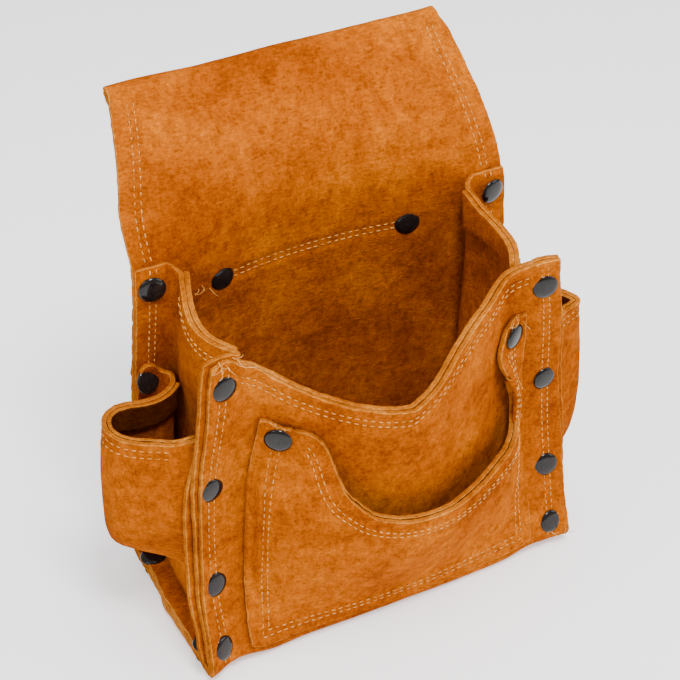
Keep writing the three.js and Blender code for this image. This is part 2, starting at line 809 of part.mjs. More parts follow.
// Rivets of one side, each with the pieces that it goes through.
function seamRivets(name, side) {
  const stack = [`gusset_${name}`, `side_pocket_${name}`];
  const rivets = [];
  frontSeamRivets.forEach(({ at, across, layers }, k) => rivets.push({
    name: `front_rivet_${name}_${k + 1}`,
    outer: onFlange('front', across, at * frontHeight, 0),
    inner: onFlange('front', across, at * frontHeight, layers - 1),
    through: ['front_panel', ...stack.slice(0, layers - 1)],
  }));
  backSeamRivets.forEach(({ at, across, layers }, k) => rivets.push({
    name: `back_rivet_${name}_${k + 1}`,
    outer: onFlange('back', across, at * backHeight, layers - 1),
    inner: onFlange('back', across, at * backHeight, 0),
    through: ['back_panel', ...stack.slice(0, layers - 1)],
  }));
  bottomSeamRivets.forEach(({ at, across, layers }, k) => rivets.push({
    name: `bottom_rivet_${name}_${k + 1}`,
    outer: flangePoint({ at: 'bottom', share: at }, across, layers - 1),
    inner: flangePoint({ at: 'bottom', share: at }, across, 0),
    through: ['front_panel', ...stack.slice(0, layers - 1)],
  }));
  return rivets.map((rivet) => ({
    ...rivet,
    outer: mirrorPoint(rivet.outer, side),
    inner: mirrorPoint(rivet.inner, side),
  }));
}

function seamAndPocketRivets(name, side) {
  const seamX = side * seamRivetSpacing / 2;
  const z = pocketTop(side) - pocketRivetDrop;
  const x = side * (pocketHalfWidth(side, pocketTop(side)) - pocketRivetInset);
  return [
    {
      name: `belt_rivet_${name}`,
      outer: backPoint(seamX, seamHeight),
      inner: offSurface(backPoint, seamX, seamHeight, ply),
      through: ['back_panel'],
    },
    {
      name: `pocket_rivet_${name}`,
      outer: pocketPoint(x, z),
      inner: frontPoint(x, z),
      through: ['front_panel', 'front_pocket'],
      lift: pocketCapLift,
    },
  ];
}

function mesh(name, geometry, colour, roughness, metalness) {
  const material = new THREE.MeshStandardMaterial({ color: colour, roughness, metalness });
  const piece = new THREE.Mesh(geometry, material);
  piece.name = name;
  return piece;
}

const sheets = new Map();
const frontPanel = frontPanelSheet();
const frontPocket = frontPocketSheet();
sheets.set('front_panel', frontPanel);
sheets.set('mouth_facing', mouthFacingSheet(frontPanel));
sheets.set('back_panel', backPanelSheet());
sheets.set('front_pocket', frontPocket);
sheets.set('pocket_facing', layerOn(frontPocket, [0, 1], pocketFacingStations(), ply));
const rivets = [];
for (const [name, side] of [['left', -1], ['right', 1]]) {
  const gusset = gussetSheet(gussetBulge[name]);
  const sidePocket = sidePocketSheet(name);
  const rim = gusset.grid.length - 1;
  const facing = layerOn(gusset, [rim - 1, rim], range(1, gusset.grid[rim].length - 2), -ply);
  sheets.set(`gusset_${name}`, mirrored(gusset, side));
  sheets.set(`gusset_facing_${name}`, mirrored(facing, side));
  sheets.set(`edge_strip_${name}`, mirrored(edgeStripSheet(), side));
  sheets.set(`side_pocket_${name}`, mirrored(sidePocket, side));
  sheets.set(`side_facing_${name}`, mirrored(sideFacingSheet(sidePocket), side));
  rivets.push(...seamRivets(name, side), ...seamAndPocketRivets(name, side));
}

const apron = new THREE.Group();
for (const [name, sheet] of sheets) {
  let solid = toSolid(sheetGeometry(sheet));
  for (const { inner, outer, through } of rivets) {
    if (through.includes(name)) solid = solid.subtract(rivetHole(inner, outer));
  }
  const colour = name.includes('facing') || name.includes('strip') ? facingColour : suedeColour;
  apron.add(mesh(name, toGeometry(solid), colour, 0.95, 0));
}
for (const { name, inner, outer, lift = capLift } of rivets) {
  apron.add(mesh(name, rivetGeometry(inner, outer, lift), rivetColour, 0.4, 0.8));
}

// The origin is the middle of the box's underside.
const box = new THREE.Box3().setFromObject(apron);
apron.position.set(-(box.min.x + box.max.x) / 2, -(box.min.y + box.max.y) / 2, -box.min.z);

export default apron;
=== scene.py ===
# Carpenter's nail apron in napped suede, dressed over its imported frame.
# Shapes are worked out in millimetres from the middle of the seams, then put into the row's frame.
import json
import math
from collections import namedtuple

import bpy
import numpy as np
from mathutils import Matrix, Vector
from mathutils.bvhtree import BVHTree
from mathutils.kdtree import KDTree

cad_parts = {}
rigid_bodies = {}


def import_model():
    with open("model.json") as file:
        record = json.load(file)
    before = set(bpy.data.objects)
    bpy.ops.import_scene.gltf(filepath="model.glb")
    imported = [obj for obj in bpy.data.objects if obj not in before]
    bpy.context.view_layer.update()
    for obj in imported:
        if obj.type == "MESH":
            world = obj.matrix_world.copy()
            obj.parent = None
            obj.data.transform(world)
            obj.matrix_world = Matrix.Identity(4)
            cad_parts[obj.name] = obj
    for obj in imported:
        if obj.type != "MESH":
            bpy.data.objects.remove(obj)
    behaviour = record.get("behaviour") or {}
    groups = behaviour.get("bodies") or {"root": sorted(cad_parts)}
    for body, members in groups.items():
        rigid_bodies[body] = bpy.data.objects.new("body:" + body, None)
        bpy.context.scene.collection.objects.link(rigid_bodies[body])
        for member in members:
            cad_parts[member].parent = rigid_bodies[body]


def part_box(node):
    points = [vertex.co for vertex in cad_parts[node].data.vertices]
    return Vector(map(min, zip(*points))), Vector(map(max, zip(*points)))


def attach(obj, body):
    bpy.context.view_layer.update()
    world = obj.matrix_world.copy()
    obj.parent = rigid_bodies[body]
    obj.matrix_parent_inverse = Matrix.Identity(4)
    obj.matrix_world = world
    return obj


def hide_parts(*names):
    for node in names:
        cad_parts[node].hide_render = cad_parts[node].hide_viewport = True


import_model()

for name in ("Cube", "Light", "Camera"):
    if name in bpy.data.objects:
        bpy.data.objects.remove(bpy.data.objects[name])
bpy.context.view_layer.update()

# Leather and its layers; the side pockets' facings are thinner
LEATHER = 2.4
PLY = 3.0
THIN_LEATHER = 1.7
THIN_PLY = 2.3
STITCH_DENT = (1.7, 0.5)
RIVET_DENT = (5.2, 0.55)
UNEVENNESS = 0.6
RAGGEDNESS = 0.3

# Overall sizes
HALF_BASE = 102.5
BASE_DEPTH = 99.0
FRONT_HEIGHT = 180.0
BACK_HEIGHT = 258.5
FOLD_RADIUS = 5.0
FLANGE_LIFT = 3.4
BEND_RADIUS = 5.0
BEND_COLUMN = 0.84
WAIST = 0.86

# How far the soft walls stray from flat
SEAM_SWAY = 14.0
MOUTH_BOW = 26.0
VALLEY_DEPTH = 8.0
CORNER_FLARE = 4.0
SCOOP_DEPTH = 42.0
BACK_LEAN = 44.0
BACK_BOW = 12.0
FLAP_BULGE = 3.5
GUSSET_BULGE = {"left": 6.0, "right": 9.0}
GUSSET_RIM_DIP = 12.0
FOOT_FLARE = 4.0
EDGE_FLARE = 4.4
REAR_DRAW = 2.2
LAP_HEIGHT = 24.0
LAP_FOOT = 9.2

# Belt tunnel
TOP_FOLD_RISE = 3.0
TUNNEL_DEPTH = 13.0
TUNNEL_TOP_WIDTH = 168.0
TUNNEL_SEAM_WIDTH = 122.0
SEAM_HEIGHT = 167.0
SEAM_ALLOWANCE = 11.0
SEAM_RIVET_SPACING = 100.0
CORNER_ROUND = {"left": 2.0, "right": 11.0}

# Pockets
POCKET_BOTTOM = 9.0
POCKET_BELLY = 13.0
POCKET_RIM_DROP = 73.0
POCKET_RIVET_INSET = 8.0
POCKET_RIVET_DROP = 10.0
SIDE_POCKET_HEIGHT = 132.0
SIDE_POCKET_FOOT = 21.0
SIDE_POCKET_END = 13.5
SIDE_POCKET_LAG = {"left": 0.20, "right": 0.0}
SIDE_POCKET_REACH = {"left": 43.5, "right": 34.0}
SIDE_POCKET_PUSH = {"left": 0.0, "right": 15.0}
SIDE_EAR_RISE = 5.0
LOOP_SPACING = 0.7
LOWEST_REACH = 0.09
HEM_COLUMNS = (0.865, 1.0)
HEM_REAR, HEM_FRONT = 0.88, 0.12

# Rivets
CAP_RADIUS = 6.6
BACK_CAP_RADIUS = 5.0
CAP_HEIGHT = 2.0
BACK_CAP_HEIGHT = 1.5
CAP_CLEARANCE = 1.2
SHANK_RADIUS = 2.2
SEAT_REACH = 9.0

# Stitches
STITCH_PITCH = 3.7
MARK_PITCH = 1.5
STITCH_LENGTH = 2.5
THREAD = 0.6
ROW_GAP = 3.1
RIM_ROWS = 6.0
POCKET_RIM_ROWS = 6.2
POCKET_ROWS_INSET = 7.0
FRONT_SEAM_ROWS = 8.6
BACK_SEAM_ROWS = 7.6
LAP_ROWS = 16.0
FRAY_SEED = 31


def table(columns, *rows):
    """Rows of named columns, as arrays by name."""
    names = columns.split()
    return {name: np.array([row[i] for row in rows], float) for i, name in enumerate(names)}


FRONT_SECTIONS = table(
    "at half_width back bow left right",
    (0, 1, 0, 0, 0, 0),
    (0.09, 1.002, 0.28, 0.14, 0, 0.1),
    (0.27, 1.005, 0.78, 0.58, 0.3, 0.4),
    (0.57, 0.975, 1, 0.94, 0.5, 0.6),
    (0.8, 0.935, 0.7, 1, 0.5, 0.6),
    (1, 0.89, 0.6, 1, 0.4, 0.5),
)
MOUTH_RIM = table(
    "at left right",
    (0, 1, 1), (0.13, 0.94, 0.8), (0.27, 0.85, 0.54), (0.4, 0.74, 0.39), (0.52, 0.6, 0.31),
    (0.62, 0.46, 0.25), (0.73, 0.28, 0.14), (0.84, 0.12, 0.05), (0.91, 0.04, 0.03), (1, 0.07, 0.03),
)
BACK_SECTIONS = table(
    "at half_width lean bow",
    (0, 1, 0.43, 0),
    (0.23, 0.995, 0.28, 0.5),
    (0.5, 0.98, 0.1, 0.92),
    (0.7, 0.955, 0, 1),
    (0.78, 0.935, 0.07, 0.75),
    (0.86, 0.905, 0.31, 0.35),
    (0.93, 0.87, 0.65, 0.1),
    (1, 0.83, 1, 0),
)
GUSSET_RIM = table("at drop", (0, 0.3), (0.2, 0.85), (0.45, 1), (0.75, 0.84), (1, 0.52))
TUNNEL_SECTIONS = table(
    "at depth",
    (0, 0.7), (0.18, 0.92), (0.38, 1), (0.57, 0.8), (0.72, 0.42), (0.82, 0), (1, 0),
)
POCKET_RIM = table(
    "across drop",
    (-0.69, 0.22), (-0.6, 0.25), (-0.52, 0.33), (-0.47, 0.44), (-0.44, 0.55), (-0.39, 0.68), (-0.3, 0.79),
    (-0.22, 0.87), (-0.06, 0.95), (0.17, 1), (0.37, 1), (0.57, 0.97), (0.76, 0.94), (0.89, 0.89),
    (0.95, 0.79), (0.92, 0.67), (0.85, 0.54), (0.77, 0.38), (0.74, 0.24), (0.78, 0.12), (0.86, 0.03),
)
SEAM_EDGES = table(
    "at panel_left gusset_left panel_right gusset_right",
    (0, 0, 0, 0, 0), (0.1, 0.9, 0.6, 0.4, 0), (0.27, 3, 1.8, 1.6, 0), (0.45, 3.9, 2.2, 2.6, 0),
    (0.6, 4, 1.8, 3, 0), (0.8, 3.2, 0.6, 3.1, 1.5), (0.92, 2.4, 0, 3.1, 3.1), (1, 2.4, 0, 2.6, 2.6),
)
POCKET_LOOP = table(
    "out along",
    (0.1, 0.02), (0.02, 0.11), (0.08, 0.23), (0.25, 0.32), (0.48, 0.34), (0.68, 0.3), (0.84, 0.31),
    (0.95, 0.39), (1, 0.52), (0.96, 0.65), (0.85, 0.76), (0.64, 0.87), (0.42, 0.96),
)
REAR_TAB = np.array([1, 0.96, 0.91])
FRONT_TAB = np.array([0.87, 0.93, 1.01])
FRONT_TAB_DRAW = np.array([0, 0.02, 0.06])
POCKET_DROP = table(
    "at left right",
    (0, 0.06, 0.06), (0.1, 0.08, 0.35), (0.19, 0.15, 0.76), (0.25, 0.33, 0.95), (0.3, 0.62, 1.01),
    (0.35, 0.85, 1.05), (0.42, 0.95, 1.08), (0.52, 0.98, 1.1), (0.75, 1, 1.08), (0.88, 1, 1.03),
    (1, 1, 1),
)
PocketSide = namedtuple("PocketSide", "top_out bottom_out top")
POCKET_SIDES = {
    "left": PocketSide(0.628 * HALF_BASE, 0.79 * HALF_BASE, 0.772 * FRONT_HEIGHT),
    "right": PocketSide(0.732 * HALF_BASE, 0.79 * HALF_BASE, 0.833 * FRONT_HEIGHT),
}
BACK_ROWS_TOP = 0.738

# Rivets of the seams: share of the wall's height or depth, share of the half width, layers held.
FRONT_RIVETS = ((0.911, 0.888, 2), (0.578, 0.900, 3), (0.275, 0.895, 3), (0.089, 0.910, 2))
BACK_RIVETS = ((0.700, 0.915, 2), (0.499, 0.940, 3), (0.240, 0.945, 3))
BOTTOM_RIVETS = ((0.18, 0.955, 3), (0.84, 0.950, 3))


def value_at(rows, column, share):
    """Value of a table's column at a share, smooth through the rows."""
    return smooth_through(rows["at"], rows[column], share)


def smooth_through(at, value, share):
    share = np.clip(np.asarray(share, float), at[0], at[-1])
    i = np.clip(np.searchsorted(at, share, side="left") - 1, 0, len(at) - 2)
    before = np.maximum(np.arange(len(at)) - 1, 0)
    after = np.minimum(np.arange(len(at)) + 1, len(at) - 1)
    slope = (value[after] - value[before]) / (at[after] - at[before])
    span = at[i + 1] - at[i]
    t = (share - at[i]) / span
    rise = value[i + 1] - value[i]
    pull = t * (1 - t) * ((1 - t) * (slope[i] * span - rise) - t * (slope[i + 1] * span - rise))
    return value[i] + t * rise + pull


def by_side(rows, across, share):
    return np.where(across < 0, value_at(rows, "left", share), value_at(rows, "right", share))


def smooth(low, high, value):
    t = np.clip((value - low) / (high - low), 0, 1)
    return t * t * (3 - 2 * t)


def wave(centre, reach, value):
    away = np.abs(value - centre) / reach
    return np.where(away < 1, np.cos(np.minimum(away, 1) * np.pi / 2) ** 2, 0.0)


def run_along(line, power=1.0):
    """Run from a line's start to each of its points, with every step's length raised to a power."""
    return np.concatenate([[0], np.cumsum(np.linalg.norm(np.diff(line, axis=0), axis=1) ** power)])


def points(x, y, z):
    return np.stack(np.broadcast_arrays(x, y, z), axis=-1).astype(float)


def unit(vectors):
    return vectors / np.maximum(np.linalg.norm(vectors, axis=-1, keepdims=True), 1e-9)


def noise(at, size, seed):
    """Smooth noise from -1 to 1 at points in millimetres, with bumps of that size."""
    q = at / size + 512.0
    cell = np.floor(q).astype(np.int64)
    f = q - cell
    f = f * f * (3 - 2 * f)
    total = np.zeros(at.shape[:-1])
    for corner in np.ndindex(2, 2, 2):
        c = cell + np.array(corner)
        h = (c[..., 0] * 73856093) ^ (c[..., 1] * 19349663) ^ (c[..., 2] * 83492791) ^ (seed * 2654435)
        h = ((h ^ (h >> 13)) * 1274126177) & 0x7FFFFFFF
        value = ((h >> 7) & 0xFFFF) / 32767.5 - 1
        weight = np.prod(np.where(np.array(corner) == 1, f, 1 - f), axis=-1)
        total += value * weight
    return total


# Front and back panels as height fields

def front_half_width(z):
    return HALF_BASE * value_at(FRONT_SECTIONS, "half_width", z / FRONT_HEIGHT)


def front_point(x, z):
    share = z / FRONT_HEIGHT
    across = x / front_half_width(z)
    valley = by_side(FRONT_SECTIONS, across, share)
    y = (-BASE_DEPTH / 2 + LEATHER / 2
         + SEAM_SWAY * value_at(FRONT_SECTIONS, "back", share)
         - MOUTH_BOW * value_at(FRONT_SECTIONS, "bow", share) * wave(0, 0.78, across)
         + VALLEY_DEPTH * valley * wave(0.7, 0.2, np.abs(across))
         - CORNER_FLARE * smooth(0.88, 1.15, np.abs(across)))
    return points(x, y, z)


def back_half_width(z, side=1):
    bulge = FLAP_BULGE * wave(0.82, 0.12, z / BACK_HEIGHT)
    return HALF_BASE * value_at(BACK_SECTIONS, "half_width", z / BACK_HEIGHT) + np.where(side < 0, bulge, 0.0)


def back_point(x, z):
    share = z / BACK_HEIGHT
    across = np.minimum(np.abs(x) / back_half_width(z) / WAIST, 1)
    plumb = BASE_DEPTH / 2 - LEATHER / 2 - PLY - BACK_LEAN * BACK_SECTIONS["lean"][0]
    y = (plumb + BACK_LEAN * value_at(BACK_SECTIONS, "lean", share)
         + BACK_BOW * value_at(BACK_SECTIONS, "bow", share) * np.cos(across * np.pi / 2))
    return points(x, y, z)


def off_surface(surface, x, z, distance):
    """Point off a surface along its normal; a positive distance goes towards +Y."""
    step = 0.5
    across = surface(x + step, z) - surface(x - step, z)
    up = surface(x, z + step) - surface(x, z - step)
    normal = unit(np.cross(up, across))
    normal *= np.where(normal[..., 1:2] < 0, -1, 1)
    return surface(x, z) + normal * np.asarray(distance, float)[..., None]


def bottom_height(across):
    return LEATHER / 2 + FLANGE_LIFT * smooth(0.62, BEND_COLUMN, np.abs(across))


def mouth_height(across):
    return FRONT_HEIGHT - SCOOP_DEPTH * by_side(MOUTH_RIM, across, np.abs(across))


# Where the seams' middle lies in the row's frame
panel_low, panel_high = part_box("front_panel")
lap_back = max(off_surface(back_point, np.array(0.0), np.array(z), PLY + LEATHER / 2)[1]
               for z in (LAP_HEIGHT, LAP_FOOT))
SHIFT = np.array([(panel_low[0] + panel_high[0]) * 500, panel_high[1] * 1000 - lap_back, 0.0])


def in_frame(at):
    return (np.asarray(at, float) + SHIFT) / 1000


# Sheets of leather

def weld(grids):
    """One mesh from grids of points, sewn together where their points coincide."""
    places, faces, offset = [], [], 0
    for grid in grids:
        rows, columns = grid.shape[:2]
        index = np.arange(rows * columns).reshape(rows, columns) + offset
        faces.append(np.stack([index[:-1, :-1], index[:-1, 1:], index[1:, 1:], index[1:, :-1]], -1).reshape(-1, 4))
        places.append(grid.reshape(-1, 3))
        offset += rows * columns
    places, faces = np.concatenate(places), np.concatenate(faces)
    _, first, place = np.unique(np.round(places, 3), axis=0, return_index=True, return_inverse=True)
    return places[first], place.reshape(-1)[faces]


def corners(face):
    """A face's corners without the ones that welding made the same."""
    return [int(face[k]) for k in range(4) if face[k] != face[k - 1]]


def corner_normals(places, faces):
    one = places[faces[:, 2]] - places[faces[:, 0]]
    two = places[faces[:, 3]] - places[faces[:, 1]]
    flat = np.cross(one, two)
    normals = np.zeros_like(places)
    for k in range(4):
        np.add.at(normals, faces[:, k], flat)
    return unit(normals)


def press(places, normals, marks, reach, depth):
    """Pushes a surface in near the marks, and lets it swell a little beside them."""
    if not len(marks):
        return places
    tree = KDTree(len(marks))
    for i, mark in enumerate(marks):
        tree.insert(mark, i)
    tree.balance()
    away = np.array([tree.find(place)[2] for place in places])
    swell = 0.45 * np.exp(-((away - 2.2 * reach) / (1.1 * reach)) ** 2)
    return places - normals * (depth * (np.exp(-(away / reach) ** 2) - swell))[:, None]


def undulate(places, normals):
    """Soft unevenness of hand-cut leather, the same for the layers that lie on each other."""
    drift = np.stack([0.9 * noise(places, 36, seed) + 0.3 * noise(places, 15, seed + 10) for seed in (3, 4, 5)], -1)
    drift[:, 2] *= smooth(4, 30, places[:, 2])
    return places + UNEVENNESS * drift + normals * (0.10 * noise(places, 4.5, 8))[:, None]


def settle(places):
    """How the real bag sits: its left foot and left front edge reach forward, its left rear edge is drawn in."""
    x, y, z = (places[..., k] for k in range(3))
    height = np.clip(z / FRONT_HEIGHT, 0, 1)
    foot = FOOT_FLARE * (1 - smooth(0.0, 0.42, height)) * smooth(0.45, 1.15, -x / HALF_BASE)
    edge = EDGE_FLARE * (1 - smooth(0.10, 0.92, height)) * smooth(0.84, 1.05, -x / HALF_BASE)
    forward = (foot + edge) * (1 - smooth(-35, 15, y))
    drawn = REAR_DRAW * smooth(0.90, 1.0, -x / HALF_BASE) * smooth(0, 20, y) * (1 - smooth(190, 225, z))
    return places + np.stack([drawn, -forward, 0 * z], -1)


# A sheet's raw rim: rings at a height and a reach in shares of the leather, and the look between them
RIM_PROFILE = ((0.36, 0.17), (0.0, 0.12), (-0.36, 0.17))
RIM_LOOKS = (1, 2, 2, 1)


def shell(name, grids, stitches, rivets, thickness, skin):
    """Closed leather sheet with rounded raw edges, from its middle surface."""
    places, faces = weld(grids)
    places = settle(places)
    normals = corner_normals(places, faces)
    places = undulate(places, normals)
    places = press(places, normals, stitches, *STITCH_DENT)
    places = press(places, normals, rivets, *RIVET_DENT)
    normals = corner_normals(places, faces)
    count = len(places)
    edges = {}
    for face in faces:
        ring = corners(face)
        for p, q in zip(ring, ring[1:] + ring[:1]):
            if not edges.pop((q, p), False):
                edges[(p, q)] = True
    rim = np.array(list(edges))
    outward = np.zeros_like(places)
    along = unit(places[rim[:, 1]] - places[rim[:, 0]])
    push = np.cross(along, normals[rim[:, 0]])
    for k in range(2):
        np.add.at(outward, rim[:, k], push)
    on_rim = np.unique(rim)
    outward = unit(outward[on_rim])
    fray = RAGGEDNESS * (noise(places[on_rim], 1.6, 11) + 0.8 * noise(places[on_rim], 5.0, 12))
    places[on_rim] += outward * fray[:, None]
    half = thickness / 2
    rings = [places[on_rim] + normals[on_rim] * (h * thickness) + outward * (out * thickness)
             for h, out in RIM_PROFILE]
    vertices = np.concatenate([places + normals * half, places - normals * half] + rings)
    vertices[:, 2] = np.maximum(vertices[:, 2], 0.02)
    same, on_ring = np.arange(count), np.zeros(count, int)
    on_ring[on_rim] = 2 * count + np.arange(len(on_rim))
    levels = [same] + [on_ring + k * len(on_rim) for k in range(len(RIM_PROFILE))] + [same + count]
    strips = [np.stack([upper[rim[:, 1]], upper[rim[:, 0]], lower[rim[:, 0]], lower[rim[:, 1]]], -1)
              for upper, lower in zip(levels, levels[1:])]
    every = np.concatenate([faces, faces[:, ::-1] + count] + strips)
    every = [corners(face) for face in every]
    kept = [i for i, ring in enumerate(every) if len(ring) > 2]
    looks = np.concatenate([np.zeros(2 * len(faces), int), np.repeat(RIM_LOOKS, len(rim))])
    return add_piece(name, vertices, [every[i] for i in kept], (skin, "cut_edge", "edge_core"),
                     looks[kept].tolist())


def add_object(name, data):
    made = bpy.data.objects.new(name, data)
    bpy.context.scene.collection.objects.link(made)
    return made


def add_piece(name, vertices, faces, looks, face_looks=None):
    """One smooth piece of the bag, from vertices in millimetres."""
    mesh = bpy.data.meshes.new(name)
    mesh.from_pydata(in_frame(vertices).tolist(), [], faces)
    for look in looks:
        mesh.materials.append(MATERIALS[look])
    if face_looks is not None:
        mesh.polygons.foreach_set("material_index", face_looks)
    mesh.polygons.foreach_set("use_smooth", [True] * len(mesh.polygons))
    mesh.update()
    piece = add_object(name, mesh)
    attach(piece, "root")
    return piece


def mirror(grid, side):
    """The same grid on the other side, still facing the same way."""
    if side > 0:
        return grid
    return (grid * np.array([-1.0, 1.0, 1.0]))[:, ::-1]


def spread(low, high, count):
    return np.linspace(low, high, count)


# Front panel: lap, bottom and front in one

def arc_rows(top, low, out, count):
    """Quarter turn from upright at top (y, z above) down to level, out = -1 at the front, 1 at the back."""
    turn = spread(0, np.pi / 2, count + 2)[1:-1, None]
    centre_y = top[None, :, 1] - out * FOLD_RADIUS
    centre_z = low[None, :] + FOLD_RADIUS
    y = centre_y + out * FOLD_RADIUS * np.cos(turn)
    z = centre_z - FOLD_RADIUS * np.sin(turn)
    return points(top[None, :, 0], y, z)


def edge_inset(z, layer):
    """How far a seam layer's edge stays in from the outermost one."""
    return value_at(SEAM_EDGES, layer, z / FRONT_HEIGHT)


def front_panel_grid():
    across = spread(-1, 1, 121)
    low = bottom_height(across)
    lap_z = spread(1, 0, 8)[:, None] * (LAP_HEIGHT - low - FOLD_RADIUS) + low + FOLD_RADIUS
    lap = off_surface(back_point, across * back_half_width(lap_z), lap_z, PLY)
    front_foot = front_point(across * HALF_BASE, low + FOLD_RADIUS)
    back_arc = arc_rows(lap[-1], low, 1, 5)
    front_arc = arc_rows(front_foot, low, -1, 5)[::-1]
    ends = lap[-1][:, 1] - FOLD_RADIUS, front_foot[:, 1] + FOLD_RADIUS
    t = spread(0, 1, 32)[:, None]
    bottom = points(across * HALF_BASE, ends[0] + (ends[1] - ends[0]) * t, low)
    rise = spread(0, 1, 96)[:, None]
    z = low + FOLD_RADIUS + (mouth_height(across) - low - FOLD_RADIUS) * rise
    inset = (edge_inset(z, "panel_left") * smooth(0.78, 1, -across)
             - edge_inset(z, "panel_right") * smooth(0.78, 1, across))
    front = front_point(across * front_half_width(z) + inset, z)
    front[0] = front_foot
    return np.concatenate([lap, back_arc, bottom, front_arc, front])


def mouth_strip(across, depths):
    """Points of the front panel at depths below its mouth rim, moved in by one layer."""
    z = mouth_height(across) - depths[:, None]
    return off_surface(front_point, across * front_half_width(z), z, PLY)


# Back panel with its top fold and the belt tunnel

def top_rounding(across, z):
    """How far the flap's side edge draws in at its rounded top corner."""
    radius = np.where(across < 0, CORNER_ROUND["left"], CORNER_ROUND["right"])
    above = np.clip((z - (BACK_HEIGHT - radius)) / radius, 0, 1)
    return radius * (1 - np.sqrt(1 - 0.96 * above ** 2)) * 0.6


def back_width(across, z):
    return back_half_width(z, across) - top_rounding(across, z)


def tunnel_point(across, share):
    z = BACK_HEIGHT - TOP_FOLD_RISE + (SEAM_HEIGHT - SEAM_ALLOWANCE - BACK_HEIGHT + TOP_FOLD_RISE) * share
    narrowing = np.minimum(share / TUNNEL_SECTIONS["at"][-2], 1)
    half_width = (TUNNEL_TOP_WIDTH + (TUNNEL_SEAM_WIDTH - TUNNEL_TOP_WIDTH) * narrowing) / 2
    depth = PLY + (TUNNEL_DEPTH - PLY) * value_at(TUNNEL_SECTIONS, "depth", share)
    return off_surface(back_point, across * half_width, z, depth)


def back_panel_grid():
    across = spread(-1, 1, 101)
    low = bottom_height(across) + 2 * FOLD_RADIUS
    rise = spread(0, 1, 130)[:, None]
    z = low + (BACK_HEIGHT - TOP_FOLD_RISE - low) * rise
    wall = back_point(across * back_width(across, z), z)
    base, end = wall[-1], tunnel_point(across, np.array(0.0))
    middle = (base + end) / 2
    radius = np.linalg.norm(base - end, axis=-1, keepdims=True) / 2
    out = unit(base - middle)
    rise_way = unit(points(0 * across, -out[:, 2], out[:, 1]))
    rise_way *= np.where(rise_way[:, 2:3] < 0, -1, 1)
    turn = spread(0, np.pi, 13)[1:-1, None, None]
    fold = middle + out * np.cos(turn) * radius + rise_way * np.sin(turn) * radius
    tunnel = tunnel_point(across, spread(0, 1, 60)[:, None])
    return np.concatenate([wall, fold, tunnel])


def edge_strip_grid():
    z = spread(0.79, 0.955, 40)[:, None] * BACK_HEIGHT
    across = spread(0.83, 0.985, 10)
    return off_surface(back_point, across * back_half_width(z), z, PLY)


# Seam flanges: front, bottom and back edges of the side walls, on the +X side

def bottom_point(share, across, layers):
    """Point on a stack of layers on the bottom; share goes from the front to the back."""
    front = front_point(across * HALF_BASE, np.zeros_like(across))[..., 1]
    back = back_point(across * HALF_BASE, np.zeros_like(across))[..., 1]
    return points(across * HALF_BASE, front + (back - front) * share, bottom_height(across) + layers * PLY)


def at_height(at, across, z, layers):
    """Point on a stack of layers inside the front or back panel."""
    if at == "front":
        return off_surface(front_point, across * front_half_width(z), z, layers * PLY)
    return off_surface(back_point, across * back_half_width(z), z, -layers * PLY)


def gusset_rim(share):
    rear, front = BACK_ROWS_TOP * BACK_HEIGHT, FRONT_HEIGHT
    return rear + (front - rear) * share - GUSSET_RIM_DIP * value_at(GUSSET_RIM, "drop", share)


GUSSET_ROWS = 64
GUSSET_COLUMNS = 44


def gusset_grids(bulge, layer):
    """Flange strip round three sides, and the wall inside it, on the +X side."""
    flange = np.array([1.0, 0.97, 0.94, 0.91, 0.875, BEND_COLUMN])
    bend = spread(0, np.pi / 2, 7)[1:]
    depth = np.concatenate([np.zeros(len(flange)), BEND_RADIUS * (1 - np.cos(bend))])
    inset = np.concatenate([np.zeros(len(flange)), BEND_RADIUS * np.sin(bend)])
    across = np.concatenate([flange, np.full(len(bend), BEND_COLUMN)])
    low = bottom_height(across) + PLY
    front_y = front_point(across * HALF_BASE, 0 * across)[:, 1] + PLY
    back_y = back_point(across * HALF_BASE, 0 * across)[:, 1] - PLY
    rise = spread(0.10, 1, GUSSET_ROWS)[:, None]
    weight = smooth(0.86, 1, rise) * (inset / BEND_RADIUS)

    def upright(at, z, way, rim):
        line = at_height(at, across, z, 1)
        line[..., 0] -= inset
        line[..., 1] += depth * way
        line[..., 2] = np.maximum(line[..., 2], low + depth)
        line[..., 2] += (gusset_rim(rim) - line[-1:, :, 2]) * weight
        return line

    share = spread(0, 1, GUSSET_COLUMNS)[:, None]
    corner = np.maximum(FOLD_RADIUS - PLY - depth, 0)
    x = across * HALF_BASE - inset
    bottom = points(x, front_y + depth + corner + (back_y - front_y - 2 * depth - 2 * corner) * share, low + depth)
    turn = spread(0, np.pi / 2, 6)[1:-1, None]
    inwards, arc_z = depth + corner * (1 - np.sin(turn)), low + depth + corner * (1 - np.cos(turn))
    front_arc, back_arc = points(x, front_y + inwards, arc_z), points(x, back_y - inwards, arc_z)
    front_z = mouth_height(across) * rise
    front = upright("front", front_z, 1, 1.0)
    front[..., 0] -= edge_inset(front_z, layer) * smooth(BEND_COLUMN, 1, across)
    back = upright("back", BACK_ROWS_TOP * BACK_HEIGHT * rise, -1, 0.0)
    strip = np.concatenate([front[::-1], front_arc, bottom, back_arc, back])
    up = spread(0, 1, GUSSET_ROWS + 1)[:, None]
    rear_root = np.concatenate([bottom[-1:, -1], back[:, -1]])
    front_root = np.concatenate([bottom[:1, -1], front[:, -1]])
    along = spread(0, 1, GUSSET_COLUMNS)
    wall = rear_root[:, None] + (front_root - rear_root)[:, None] * along[None, :, None]
    wall[..., 0] += bulge * up * np.sin(along * np.pi)
    wall[0] = bottom[::-1, -1]
    lift = smooth(0.82, 1, up)
    even = wall[-1:, :, 2]
    wall[..., 2] += (gusset_rim(along) - even) * lift
    wall[:, 0], wall[:, -1] = rear_root, front_root
    return strip, wall


# Front pocket

